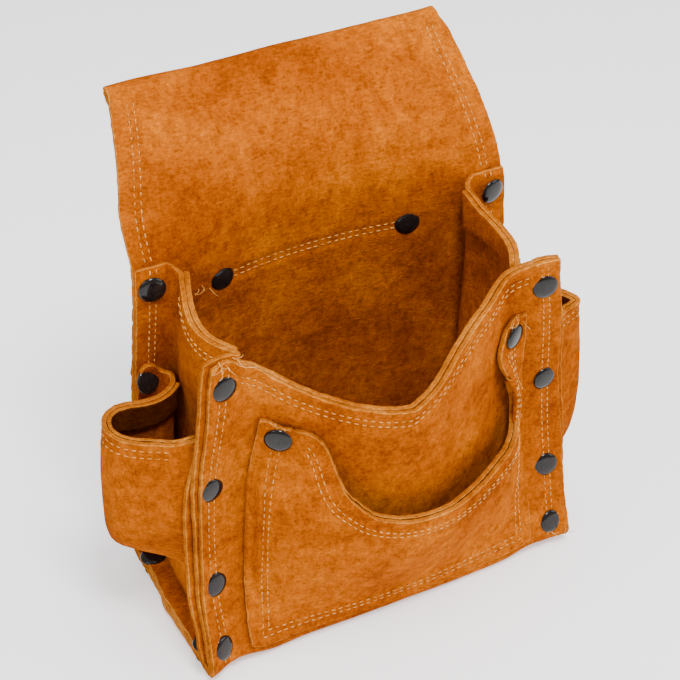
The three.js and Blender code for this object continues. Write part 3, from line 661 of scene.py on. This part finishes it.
def pocket_edge(side, z):
    out = POCKET_SIDES[side]
    share = np.clip((z - POCKET_BOTTOM) / (out.top - POCKET_BOTTOM), 0, 1)
    return out.bottom_out + (out.top_out - out.bottom_out) * share


def pocket_point(x, z, lift=0.0):
    side = x < 0
    top = np.where(side, POCKET_SIDES["left"].top, POCKET_SIDES["right"].top)
    edge = np.where(side, pocket_edge("left", z), pocket_edge("right", z))
    across = np.minimum(np.abs(x) / edge, 1)
    up = smooth(POCKET_BOTTOM, POCKET_BOTTOM + POCKET_RIM_DROP, z)
    ears = 1 - 0.96 * smooth(0.62 * top, 0.93 * top, z)
    belly = POCKET_BELLY * (1 - across ** 6) * np.sin(up * np.pi / 2) * ears
    return off_surface(front_point, x, z, -PLY - belly + lift)


def curve_through(knots, count):
    """Even points along a smooth curve through the knots."""
    at = run_along(knots, 0.5)
    fine = spread(0, at[-1], 1200)
    sampled = np.stack([smooth_through(at, column, fine) for column in knots.T], -1)
    run = run_along(sampled)
    even = spread(0, run[-1], count)
    return np.stack([np.interp(even, run, column) for column in sampled.T], -1)


def pocket_rim(count):
    reach, top = POCKET_SIDES["right"].top_out, POCKET_SIDES["right"].top
    knots = np.stack([POCKET_RIM["across"] * reach, top - POCKET_RIM_DROP * POCKET_RIM["drop"]], -1)
    return curve_through(knots, count)


def pocket_outline(count):
    """The pocket's sewn edge: down the left side, along the bottom and up the right side."""
    side_share = 2 / 7
    at = spread(0, 1, count)
    left, right = POCKET_SIDES["left"], POCKET_SIDES["right"]
    down = np.clip(at / side_share, 0, 1)
    up = np.clip((1 - at) / side_share, 0, 1)
    z_left = left.top + (POCKET_BOTTOM - left.top) * down
    z_right = right.top + (POCKET_BOTTOM - right.top) * up
    along = np.clip((at - side_share) / (1 - 2 * side_share), 0, 1)
    x = np.where(at < side_share, -pocket_edge("left", z_left),
                 np.where(at > 1 - side_share, pocket_edge("right", z_right),
                          -left.bottom_out + (left.bottom_out + right.bottom_out) * along))
    z = np.where(at < side_share, z_left, np.where(at > 1 - side_share, z_right, POCKET_BOTTOM))
    round_off = np.exp(-((at - side_share) / 0.02) ** 2) + np.exp(-((at - 1 + side_share) / 0.02) ** 2)
    return np.stack([x * (1 - 0.02 * round_off), z + 2.0 * round_off], -1)


POCKET_STATIONS = 181
POCKET_ROWS = 46


def pocket_flat():
    """The pocket's points on the panel as x and z, from its rim to its sewn edge."""
    rim, edge = pocket_rim(POCKET_STATIONS), pocket_outline(POCKET_STATIONS)
    share = spread(0, 1, POCKET_ROWS)[:, None, None]
    return rim + (edge - rim) * share


# Side pockets

def catmull(knots, count):
    """Smooth curves through the second axis of a stack of knots, spaced as on the first, and each knot's share."""
    at = run_along(knots[0], LOOP_SPACING)
    fine = spread(0, at[-1], count)
    weights = np.stack([smooth_through(at, pick, fine) for pick in np.eye(len(at))])
    return np.einsum("rkc,kn->rnc", knots, weights), at / at[-1]


def side_pocket_grids(name):
    """Wall of the pocket on the +X side, and its lower part that turns out onto the bottom flange."""
    reach, push = SIDE_POCKET_REACH[name], SIDE_POCKET_PUSH[name]
    z = spread(SIDE_POCKET_HEIGHT, SIDE_POCKET_END, 56)[:, None]
    at = ((z - SIDE_POCKET_FOOT) / (SIDE_POCKET_HEIGHT - SIDE_POCKET_FOOT))[:, 0]
    lag = SIDE_POCKET_LAG[name] * smooth(0.5, 0.9, POCKET_LOOP["along"])[None, :]
    keep = value_at(POCKET_DROP, name, at[:, None] - lag * (1 - smooth(0.75, 1, at))[:, None])
    rear = at_height("back", np.full_like(z, BEND_COLUMN), z, 2)
    front = at_height("front", np.full_like(z, BEND_COLUMN), z, 2)
    out, along = POCKET_LOOP["out"][None, :], POCKET_LOOP["along"][None, :]
    even = spread(0, 1, out.shape[1])[None, :]
    along = along + (even - along) * (1 - keep)
    loop = rear + (front - rear) * along[..., None]
    loop[..., 0] += reach * (out * keep + LOWEST_REACH * (1 - keep))
    loop[..., 1] -= 2 * push * out ** 2 * keep * (1 - along)
    loop[..., 2] = z
    tab_out = REAR_TAB + 0 * z
    rear_tab = at_height("back", tab_out, z + 0 * tab_out, 2)
    tab_out = FRONT_TAB - FRONT_TAB_DRAW * smooth(0.6, 1, at)[:, None]
    front_tab = at_height("front", tab_out, z + 0 * tab_out, 2)
    ear = SIDE_EAR_RISE * smooth(0.86, 1, at)[:, None] * np.array([0.0, 1.0, 1.0])
    rear_tab[..., 2] += ear
    wall, knots = catmull(np.concatenate([rear_tab, loop, front_tab], 1), 150)
    share = spread(0, 1, 150)
    start, stop = knots[len(REAR_TAB)], knots[len(REAR_TAB) + out.shape[1] - 1]
    inside = (share >= start) & (share <= stop)
    foot = wall[-1, inside]
    even = (share[inside] - start) / (stop - start)
    hem_share = HEM_REAR + (HEM_FRONT - HEM_REAR) * even
    hem = [bottom_point(hem_share, np.full_like(even, column), 2) for column in HEM_COLUMNS]
    knee = points((hem[0][:, 0] + foot[:, 0]) * 0.5 - 0.5, hem[0][:, 1], hem[0][:, 2] + 2.5)
    t = spread(0, 1, 12)[:, None, None]
    turn = foot * (1 - t) ** 2 + 2 * knee * t * (1 - t) + hem[0] * t ** 2
    outwards = spread(0, 1, 10)[1:, None, None]
    return wall, np.concatenate([turn, hem[0] + (hem[1] - hem[0]) * outwards])


# Materials

class Shading:
    """Shader nodes of a material or world, made and linked in short calls."""

    def __init__(self, owner):
        owner.use_nodes = True
        self.owner, self.nodes, self.links = owner, owner.node_tree.nodes, owner.node_tree.links

    def set(self, node, **values):
        """Sets or links a node's inputs, named with _ for a space."""
        for name, value in values.items():
            socket = node.inputs[name.replace("_", " ")]
            if isinstance(value, bpy.types.NodeSocket):
                self.links.new(value, socket)
            else:
                socket.default_value = value
        return node

    def add(self, kind, **values):
        return self.set(self.nodes.new(kind), **values)

    def coordinates(self, kind):
        return self.nodes.new("ShaderNodeTexCoord").outputs[kind]

    def noise(self, scale, detail, rough, stretch=(1, 1, 1)):
        mapping = self.add("ShaderNodeMapping", Scale=stretch, Vector=self.coordinates("Object"))
        return self.add("ShaderNodeTexNoise", Scale=scale, Detail=detail, Roughness=rough,
                        Vector=mapping.outputs["Vector"]).outputs["Fac"]

    def ramp(self, factor, *stops):
        node = self.add("ShaderNodeValToRGB", Fac=factor)
        elements = node.color_ramp.elements
        while len(elements) < len(stops):
            elements.new(0.5)
        for element, (position, colour) in zip(elements, stops):
            element.position = position
            element.color = (*colour, 1)
        return node.outputs["Color"]

    def multiply(self, factor, one, two):
        node = self.nodes.new("ShaderNodeMix")
        node.data_type, node.blend_type = "RGBA", "MULTIPLY"
        self.set(node, Factor=factor, A=one, B=two)
        return node.outputs["Result"]

    def math(self, operation, *values):
        node = self.nodes.new("ShaderNodeMath")
        node.operation = operation
        for socket, value in zip(node.inputs, values):
            if isinstance(value, float):
                socket.default_value = value
            else:
                self.links.new(value, socket)
        return node.outputs["Value"]

    def bump(self, height, strength, distance):
        return self.add("ShaderNodeBump", Strength=strength, Distance=distance, Height=height).outputs["Normal"]

    def surface(self, **values):
        self.set(self.nodes["Principled BSDF"], **values)
        return self.owner


def grey(value):
    return (value, value, value)


def suede_material(name, dark, middle, light):
    """Napped split leather: cloudy colour under short fibres that lie every way."""
    shading = Shading(bpy.data.materials.new(name))
    cloud = shading.noise(24, 4, 0.6)
    mottle = shading.noise(190, 6, 0.72)
    nap = shading.noise(720, 4, 0.75, (1.0, 1.0, 0.5))
    cross_nap = shading.noise(880, 3, 0.7, (0.4, 1.0, 1.0))
    base = shading.ramp(cloud, (0.34, dark), (0.5, middle), (0.66, light))
    spots = shading.ramp(mottle, (0.34, (0.70, 0.63, 0.56)), (0.52, grey(1.0)), (0.68, (1.20, 1.28, 1.36)))
    fibres = shading.math("MULTIPLY", shading.math("ADD", nap, cross_nap), 0.5)
    strokes = shading.ramp(fibres, (0.36, (0.58, 0.50, 0.44)), (0.5, grey(1.0)), (0.64, (1.35, 1.5, 1.8)))
    colour = shading.multiply(0.9, shading.multiply(0.85, base, spots), strokes)
    relief = shading.bump(shading.math("ADD", mottle, fibres), 0.75, 0.0012)
    return shading.surface(Base_Color=colour, Roughness=1.0, Specular_IOR_Level=0.03, Normal=relief)


def thread_material():
    shading = Shading(bpy.data.materials.new("thread"))
    colour = shading.ramp(shading.noise(240, 2, 0.5), (0.3, (0.46, 0.16, 0.02)), (0.7, (0.68, 0.36, 0.10)))
    twist = shading.bump(shading.noise(2600, 1, 0.5), 0.5, 0.0002)
    return shading.surface(Base_Color=colour, Roughness=0.8, Specular_IOR_Level=0.1, Normal=twist)


def rivet_material():
    """Antique black plating with a soft gloss, worn in small scuffs."""
    shading = Shading(bpy.data.materials.new("rivet_metal"))
    tone = shading.noise(300, 4, 0.6)
    colour = shading.ramp(tone, (0.3, (0.005, 0.004, 0.004)), (0.7, (0.014, 0.011, 0.010)))
    rough = shading.ramp(tone, (0.3, grey(0.06)), (0.7, grey(0.12)))
    return shading.surface(Base_Color=colour, Specular_IOR_Level=0.25, Roughness=rough)


MATERIALS = {
    "suede": suede_material("suede", (0.27, 0.050, 0.0), (0.37, 0.078, 0.0), (0.46, 0.110, 0.0)),
    # Much darker suede for the pockets' inner facings: painted shade standing in for the shade deep inside the
    # pockets
    "suede_inner": suede_material("suede_inner", (0.070, 0.014, 0.0), (0.105, 0.022, 0.0), (0.150, 0.034, 0.0)),
    "cut_edge": suede_material("cut_edge", (0.40, 0.12, 0.008), (0.48, 0.17, 0.02), (0.57, 0.23, 0.04)),
    "edge_core": suede_material("edge_core", (0.30, 0.072, 0.001), (0.38, 0.105, 0.004), (0.46, 0.15, 0.012)),
    "thread": thread_material(),
    "rivet_metal": rivet_material(),
}


# Stitch rows: lines of points on the middle surface, each with the side that it shows on

def resample(line, pitch, values=None):
    """Even points along a line, or values that go with its points."""
    values = line if values is None else values
    run = run_along(line)
    even = np.arange(pitch / 2, run[-1], pitch)
    return np.stack([np.interp(even, run, column) for column in values.T], -1)


def ring_faces(rings, sides):
    """Faces of a closed body of rings, whose first and last points follow them in its vertices."""
    following = [(k, (k + 1) % sides) for k in range(sides)]
    faces = [(i + k, i + j, i + sides + j, i + sides + k)
             for i in range(0, (rings - 1) * sides, sides) for k, j in following]
    first, last, end = rings * sides, rings * sides + 1, (rings - 1) * sides
    for k, j in following:
        faces += [(first, j, k), (last, end + k, end + j)]
    return faces


def tube(path, radius, sides=6):
    """Vertices and faces of a closed tube with pointed ends."""
    tangents = unit(np.gradient(path, axis=0))
    helper = np.array([0.31, 0.44, 0.84])
    one = unit(np.cross(tangents, helper))
    two = np.cross(tangents, one)
    turn = spread(0, 2 * np.pi, sides + 1)[:-1]
    radius = np.broadcast_to(radius, (len(path),))
    ring = (path[:, None] + radius[:, None, None]
            * (one[:, None] * np.cos(turn)[None, :, None] + two[:, None] * np.sin(turn)[None, :, None]))
    return np.concatenate([ring.reshape(-1, 3), path[:1], path[-1:]]), ring_faces(len(path), sides)


def add_threads(name, pieces):
    """One piece from many small closed meshes."""
    vertices, faces, offset = [], [], 0
    for places, rings in pieces:
        vertices.append(places)
        faces.extend([tuple(v + offset for v in ring) for ring in rings])
        offset += len(places)
    add_piece(name, np.concatenate(vertices), faces, ("thread",))


def surface_tree(piece):
    vertices = np.empty(len(piece.data.vertices) * 3)
    piece.data.vertices.foreach_get("co", vertices)
    places = vertices.reshape(-1, 3) * 1000 - SHIFT
    return BVHTree.FromPolygons(places.tolist(), [tuple(p.vertices) for p in piece.data.polygons])


def seat(tree, at, way):
    """Where a line towards the surface, along -way, meets it, and the surface's way there."""
    hit, normal, _, _ = tree.ray_cast(Vector(at + way * SEAT_REACH), Vector(-way), 2 * SEAT_REACH)
    if hit is None:
        return None, None
    return np.array(hit), np.array(normal)


def stitch_row(tree, line, way, skips):
    """Short thread arcs along a line, each diving into the leather at its two ends."""
    places = resample(line, STITCH_PITCH)
    along = unit(np.gradient(places, axis=0)) if len(places) > 1 else np.array([[1.0, 0, 0]])
    ways = resample(line, STITCH_PITCH, np.broadcast_to(way, line.shape))
    made = []
    for k, (at, ahead, toward) in enumerate(zip(places, along, ways)):
        if any(np.linalg.norm(at - skip) < CAP_RADIUS - CAP_CLEARANCE for skip in skips):
            continue
        hit, normal = seat(tree, at, unit(toward))
        if hit is None:
            continue
        if np.dot(normal, toward) < 0:
            normal = -normal
        wobble = 0.12 * noise(at[None] + 3.7 * k, 2.0, 21)[0]
        aside = np.cross(normal, ahead)
        t = spread(-1, 1, 5)
        length = STITCH_LENGTH * (1 + 0.10 * noise(at[None], 3.0, 22)[0])
        path = (hit + ahead * (t * length / 2)[:, None] + aside * (wobble * t)[:, None]
                + normal * (0.14 - 0.56 * t ** 4)[:, None])
        made.append(tube(path, THREAD / 2 * (1 - 0.35 * t ** 4)))
    return made


def loose_ends(at, way, count, seed):
    """Frayed thread ends that start about a place and curl away from the leather."""
    rng = np.random.default_rng(seed)
    made = []
    for _ in range(count):
        start = at + rng.normal(0, 1.5, 3) * (1 - 0.7 * np.abs(way))
        ahead = unit(rng.normal(0, 1, 3) + 0.3 * way)
        bend = rng.normal(0, 0.55, 3)
        length = rng.uniform(2.0, 5.5)
        t = spread(0, 1, 8)[:, None]
        path = start + way * (0.9 + 1.3 * np.sin(t * np.pi * 0.8)) + length * (ahead * t * 0.8 + bend * t ** 2)
        made.append(tube(path, 0.19 - 0.07 * t[:, 0], 5))
    return made


# Rivets

def lathe(profile, sides):
    """Closed turned body from a profile of radius and height that starts and ends on the axis."""
    turn = spread(0, 2 * np.pi, sides + 1)[:-1]
    inner = profile[1:-1]
    ring = np.stack([inner[:, 0, None] * np.cos(turn), inner[:, 0, None] * np.sin(turn),
                     np.repeat(inner[:, 1, None], sides, 1)], -1)
    vertices = np.concatenate([ring.reshape(-1, 3), [[0, 0, profile[0, 1]]], [[0, 0, profile[-1, 1]]]])
    return vertices, ring_faces(len(inner), sides)


def cap_profile(radius, height, start, way):
    """Domed cap with a rolled rim, from the rim inwards to the crown."""
    share = np.concatenate([spread(0.95, 0.6, 8), spread(0.5, 0.0, 4)])
    dome = [(radius * s, start + way * (0.42 + (height - 0.42) * (1 - s ** 3.0) ** 0.65)) for s in share]
    rim = [(0.93 * radius, start - way * 0.05), (0.985 * radius, start + way * 0.05),
           (radius, start + way * 0.26), (0.985 * radius, start + way * 0.46)]
    return rim + dome


Rivet = namedtuple("Rivet", "name at way layers outer inner")
RIVET_TILT = {
    "back_rivet_left_2": np.array([0.34, 0.0, 0.42]),
    "back_rivet_right_1": np.array([0.20, 0.0, -0.08]),
}
TILT_LIFT = 0.8


def rivet_piece(rivet, outer_tree, inner_tree):
    at = settle(rivet.at)
    outer, way = seat(outer_tree, at, rivet.way)
    if outer is None:
        outer, way = at + rivet.way * LEATHER, rivet.way
    if np.dot(way, rivet.way) < 0:
        way = -way
    way = unit(0.8 * way + 0.2 * rivet.way)
    inner, _ = seat(inner_tree, at - rivet.way * rivet.layers * PLY, -rivet.way)
    grip = max(np.dot(outer - inner, way), LEATHER) if inner is not None else rivet.layers * PLY
    profile = (cap_profile(BACK_CAP_RADIUS, BACK_CAP_HEIGHT, -grip - 0.1, -1)[::-1]
               + [(SHANK_RADIUS, -grip), (SHANK_RADIUS, 0.0)] + cap_profile(CAP_RADIUS, CAP_HEIGHT, 0.05, 1))
    vertices, faces = lathe(np.array(profile), 40)
    turn = Vector((0, 0, 1)).rotation_difference(Vector(way)).to_matrix()
    placed = vertices @ np.array(turn).T
    if rivet.name in RIVET_TILT:
        tilted = Vector((0, 0, 1)).rotation_difference(Vector(unit(way + RIVET_TILT[rivet.name]))).to_matrix()
        lifted = vertices @ np.array(tilted).T + way * TILT_LIFT
        placed = np.where(vertices[:, 2:] > -0.1, lifted, placed)
    piece = add_piece("cap_" + rivet.name, placed + outer, faces, ("rivet_metal",))
    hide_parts(rivet.name)


SIDES = {"left": -1, "right": 1}
MIRROR = {name: np.array([side, 1.0, 1.0]) for name, side in SIDES.items()}


def normal_way(surface, x, z, sign):
    return unit(off_surface(surface, np.array(x), np.array(z), sign) - surface(np.array(x), np.array(z)))


def seam_rivets(name):
    """The rivets of one side: place on the camera side's outer layer, way out, layers, and the two sheets."""
    flip = MIRROR[name]
    stack = [f"gusset_{name}", f"side_pocket_{name}"]
    rivets = []
    for k, (at, across, layers) in enumerate(FRONT_RIVETS, 1):
        z = at * FRONT_HEIGHT
        x = across * float(front_half_width(z))
        rivets.append(Rivet(f"front_rivet_{name}_{k}", front_point(x, z) * flip,
                            normal_way(front_point, x, z, -1) * flip, layers, "front_panel", stack[layers - 2]))
    for k, (at, across, layers) in enumerate(BACK_RIVETS, 1):
        z = at * BACK_HEIGHT
        x = across * float(back_half_width(z))
        way = normal_way(back_point, x, z, -1)
        rivets.append(Rivet(f"back_rivet_{name}_{k}", (back_point(x, z) + way * (layers - 1) * PLY) * flip,
                            way * flip, layers, stack[layers - 2], "back_panel"))
    for k, (at, across, layers) in enumerate(BOTTOM_RIVETS, 1):
        place = bottom_point(at, np.array(across), layers - 1)
        rivets.append(Rivet(f"bottom_rivet_{name}_{k}", place * flip, np.array([0.0, 0, 1]), layers,
                            stack[layers - 2], "front_panel"))
    return rivets


def plain_rivets(name):
    side = SIDES[name]
    seam_x = side * SEAM_RIVET_SPACING / 2
    pocket = POCKET_SIDES[name]
    x = side * (pocket.top_out - POCKET_RIVET_INSET)
    z = pocket.top - POCKET_RIVET_DROP
    return [
        Rivet(f"belt_rivet_{name}", back_point(seam_x, SEAM_HEIGHT), normal_way(back_point, seam_x, SEAM_HEIGHT, -1),
              2, "back_panel", "back_panel"),
        Rivet(f"pocket_rivet_{name}", pocket_point(np.array(x), np.array(z)), normal_way(front_point, x, z, -1),
              2, "front_pocket", "front_panel"),
    ]


RIVETS = [rivet for name in SIDES for rivet in seam_rivets(name) + plain_rivets(name)]


# Stitch lines

def two_rows(first):
    return first, first + ROW_GAP


def seam_line(at, inset, z_from, z_to, layers, side):
    """A line up a seam, measured in from the panel's edge, and the way towards the camera."""
    z = spread(z_from, z_to, 160)
    surface = front_point if at == "front" else back_point
    x = (front_half_width(z) if at == "front" else back_half_width(z, side)) - inset
    way = normal_way(surface, x, z, -1)
    flip = np.array([side, 1, 1])
    return (surface(x, z) + way * layers * PLY) * flip, way * flip


def mouth_lines():
    across = spread(-0.80, 0.80, 300)
    for depth in two_rows(RIM_ROWS):
        z = mouth_height(across) - depth
        yield front_point(across * front_half_width(z), z)


def flat_offset(line, distance):
    """A line in x and z moved sideways."""
    way = unit(np.gradient(line, axis=0))
    return line + np.stack([way[:, 1], -way[:, 0]], -1) * distance


def pocket_lines():
    rim = pocket_rim(240)
    for distance in (POCKET_RIM_ROWS, POCKET_RIM_ROWS + 0.8 * ROW_GAP):
        line = flat_offset(rim, distance)
        keep = line[:, 0] > -0.62 * POCKET_SIDES["right"].top_out
        line = line[keep][:-18]
        yield pocket_point(line[:, 0], line[:, 1])
    for inset in two_rows(POCKET_ROWS_INSET):
        for name, side in SIDES.items():
            top = POCKET_SIDES[name].top
            z = spread(top - 2.5, POCKET_BOTTOM + inset, 160)
            x = side * (pocket_edge(name, z) - inset)
            yield pocket_point(x, z)
        x = spread(-1, 1, 200) * (POCKET_SIDES["left"].bottom_out - inset)
        yield pocket_point(x, np.full_like(x, POCKET_BOTTOM + inset - 1.5))


# Build the sheets; the facings and the side pockets' stitches follow parts of their walls' grids

POCKET_FACING = np.s_[:11, 24:150]
GUSSET_FACING = np.s_[-10:, :-3]
SIDE_FACING = np.s_[:8, 34:-18]
SIDE_ROWS = np.s_[30:-27]
TREES = {}


def make_sheet(name, grids, lines=(), side=1, thickness=LEATHER, skin="suede", frays=()):
    """Leather sheet with its stitch rows: lines are pairs of a line and the way that it faces."""
    lines = [(settle(line), way) for line, way in lines]
    marks = [resample(line, MARK_PITCH) for line, _ in lines]
    rivets = np.array([settle(rivet.at) for rivet in RIVETS if name in (rivet.outer, rivet.inner)])
    piece = shell("suede_" + name, [mirror(grid, side) for grid in grids],
                  np.concatenate(marks) if marks else (), rivets, thickness, skin)
    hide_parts(name)
    TREES[name] = surface_tree(piece)
    threads = [stitch for line, way in lines for stitch in stitch_row(TREES[name], line, way, rivets)]
    for k, (at, count) in enumerate(frays):
        threads += loose_ends(settle(at), CAMERA_WAY, count, FRAY_SEED + k)
    if threads:
        add_threads("stitches_" + name, threads)


CAMERA_WAY = np.array([0.0, -1.0, 0.0])


def frays_on(surface, *spots):
    """Frays at spots of x, z and a number of threads."""
    return [(surface(np.array(x), np.array(z)) + CAMERA_WAY * LEATHER / 2, count) for x, z, count in spots]


front_lines = [(line, CAMERA_WAY) for line in mouth_lines()]
for side in SIDES.values():
    front_lines += [seam_line("front", inset, 8, 175, 0, side) for inset in two_rows(FRONT_SEAM_ROWS)]
for z in two_rows(LAP_ROWS):
    x = spread(-0.93, 0.93, 200) * HALF_BASE
    front_lines.append((off_surface(back_point, x, np.full_like(x, z), PLY), -CAMERA_WAY))
make_sheet("front_panel", [front_panel_grid()], front_lines,
           frays=frays_on(front_point, (-84.0, 177.5, 9), (-78.0, 179.0, 6), (98.0, 9.0, 4)))
make_sheet("mouth_facing", [mouth_strip(spread(-0.83, 0.83, 110), spread(14, 0.3, 12))])

back_lines = []
for side in SIDES.values():
    back_lines += [seam_line("back", inset, 192, 252, 0, side) for inset in two_rows(BACK_SEAM_ROWS)]
    for inset in two_rows(BACK_SEAM_ROWS):
        line, way = seam_line("back", inset, 27, 200, 0, side)
        back_lines.append((line, -way))
for rise in (-ROW_GAP / 2, ROW_GAP / 2):
    x = spread(-0.5, 0.5, 120) * (SEAM_RIVET_SPACING + 10)
    z = np.full_like(x, SEAM_HEIGHT + rise)
    back_lines.append((back_point(x, z), CAMERA_WAY))
    back_lines.append((off_surface(back_point, x, z, PLY), -CAMERA_WAY))
make_sheet("back_panel", [back_panel_grid()], back_lines, frays=frays_on(back_point, (-60.0, SEAM_HEIGHT - 1.0, 5)))

pocket_xz = pocket_flat()
make_sheet("front_pocket", [pocket_point(pocket_xz[..., 0], pocket_xz[..., 1])],
           [(line, CAMERA_WAY) for line in pocket_lines()],
           frays=frays_on(pocket_point, (70.0, 148.0, 5), (-60.0, 137.5, 3)))
facing = pocket_xz[POCKET_FACING]
# The front pocket's inner facing takes the darker suede: painted shade inside the pocket
make_sheet("pocket_facing", [pocket_point(facing[..., 0], facing[..., 1], PLY)], skin="suede_inner")

for name, side in SIDES.items():
    flip = MIRROR[name]
    strip, wall = gusset_grids(GUSSET_BULGE[name], f"gusset_{name}")
    gusset_lines = []
    for inset in two_rows(BACK_SEAM_ROWS):
        line, way = seam_line("back", inset, 136, 189, 1, 1)
        gusset_lines.append((line * flip, way * flip))
    for drop in two_rows(RIM_ROWS):
        line = wall[-1, 3:-3] - np.array([0.0, 0.0, drop])
        gusset_lines.append((line * flip, np.array([side, 0.0, 0.0])))
    make_sheet(f"gusset_{name}", [strip, wall], gusset_lines, side=side)
    inner = wall[GUSSET_FACING] - np.array([PLY, 0.0, 0.0])
    make_sheet(f"gusset_facing_{name}", [inner], side=side)
    make_sheet(f"edge_strip_{name}", [edge_strip_grid()], side=side)

    upper, lower = side_pocket_grids(name)
    side_lines = []
    for row in (2, 4):
        line = upper[row, SIDE_ROWS]
        out_way = unit(np.cross(np.gradient(line, axis=0), upper[row + 1, SIDE_ROWS] - upper[row - 1, SIDE_ROWS]))
        side_lines.append((line * flip, out_way * flip))
    make_sheet(f"side_pocket_{name}", [upper, lower], side_lines, side=side)
    inward = upper[SIDE_FACING]
    normal = unit(np.cross(np.gradient(inward, axis=1), np.gradient(inward, axis=0)))
    # The side pocket's inner facing takes the darker suede: painted shade inside the pocket
    make_sheet(f"side_facing_{name}", [inward - normal * THIN_PLY], side=side, thickness=THIN_LEATHER,
               skin="suede_inner")

for rivet in RIVETS:
    rivet_piece(rivet, TREES[rivet.outer], TREES[rivet.inner])


# Floor, light and camera

FLOOR_REACH = 3.0
floor_mesh = bpy.data.meshes.new("floor")
floor_mesh.from_pydata([(x * FLOOR_REACH, y * FLOOR_REACH, 0) for x, y in ((-1, -1), (1, -1), (1, 1), (-1, 1))],
                       [], [(0, 1, 2, 3)])
floor_mesh.materials.append(Shading(bpy.data.materials.new("floor")).surface(
    Base_Color=(*grey(0.95), 1), Roughness=0.9, Emission_Color=(*grey(1.0), 1), Emission_Strength=0.55))
add_object("floor", floor_mesh)

world = bpy.data.worlds.new("studio")
bpy.context.scene.world = world
sky = Shading(world)
height = sky.add("ShaderNodeSeparateXYZ", Vector=sky.coordinates("Generated")).outputs["Z"]
sky.set(sky.nodes["Background"], Strength=1.0,
        Color=sky.ramp(height, (0.0, grey(0.40)), (0.25, grey(0.45)), (0.75, grey(0.75))))


def softbox(name, at, size, power):
    data = bpy.data.lights.new(name, "AREA")
    data.shape = "RECTANGLE"
    data.size, data.size_y = size
    data.energy = power
    light = add_object(name, data)
    light.location = at
    light.rotation_euler = (LIGHT_AIM - Vector(at)).to_track_quat("-Z", "Y").to_euler()


LIGHT_AIM = Vector((0, 0, 0.1))
softbox("key", (-0.1, -0.7, 1.5), (0.4, 0.4), 28)
softbox("fill", (1.2, -0.7, 0.8), (0.9, 0.9), 11)
softbox("top", (0.1, 0.0, 1.6), (1.0, 0.6), 11)
softbox("left", (-1.1, -0.1, 1.1), (0.7, 0.7), 7)

# The photograph's viewpoint
AZIMUTH = math.radians(27.54)
ELEVATION = math.radians(36.999)
ROLL = math.radians(0.17)
SENSOR_WIDTH = 36.0
LENS = 103.72
SEAM_SETBACK = 3.5
CAMERA_PLACE = np.array([-348.43, -663.09 + SEAM_SETBACK, 696.84])

camera_data = bpy.data.cameras.new("camera")
camera_data.sensor_width = SENSOR_WIDTH
camera_data.lens = LENS
camera_data.clip_start = 0.01
camera_data.shift_x, camera_data.shift_y = -0.0009, 0.0010
camera = add_object("camera", camera_data)
forward = Vector((math.sin(AZIMUTH) * math.cos(ELEVATION), math.cos(AZIMUTH) * math.cos(ELEVATION),
                  -math.sin(ELEVATION)))
right = Vector((math.cos(AZIMUTH), -math.sin(AZIMUTH), 0))
up = right.cross(forward)
turned = Matrix.Rotation(ROLL, 3, forward)
right, up = turned @ right, turned @ up
camera.matrix_world = Matrix.Translation(Vector(in_frame(CAMERA_PLACE))) @ Matrix(
    (right, up, -forward)).transposed().to_4x4()
bpy.context.scene.camera = camera
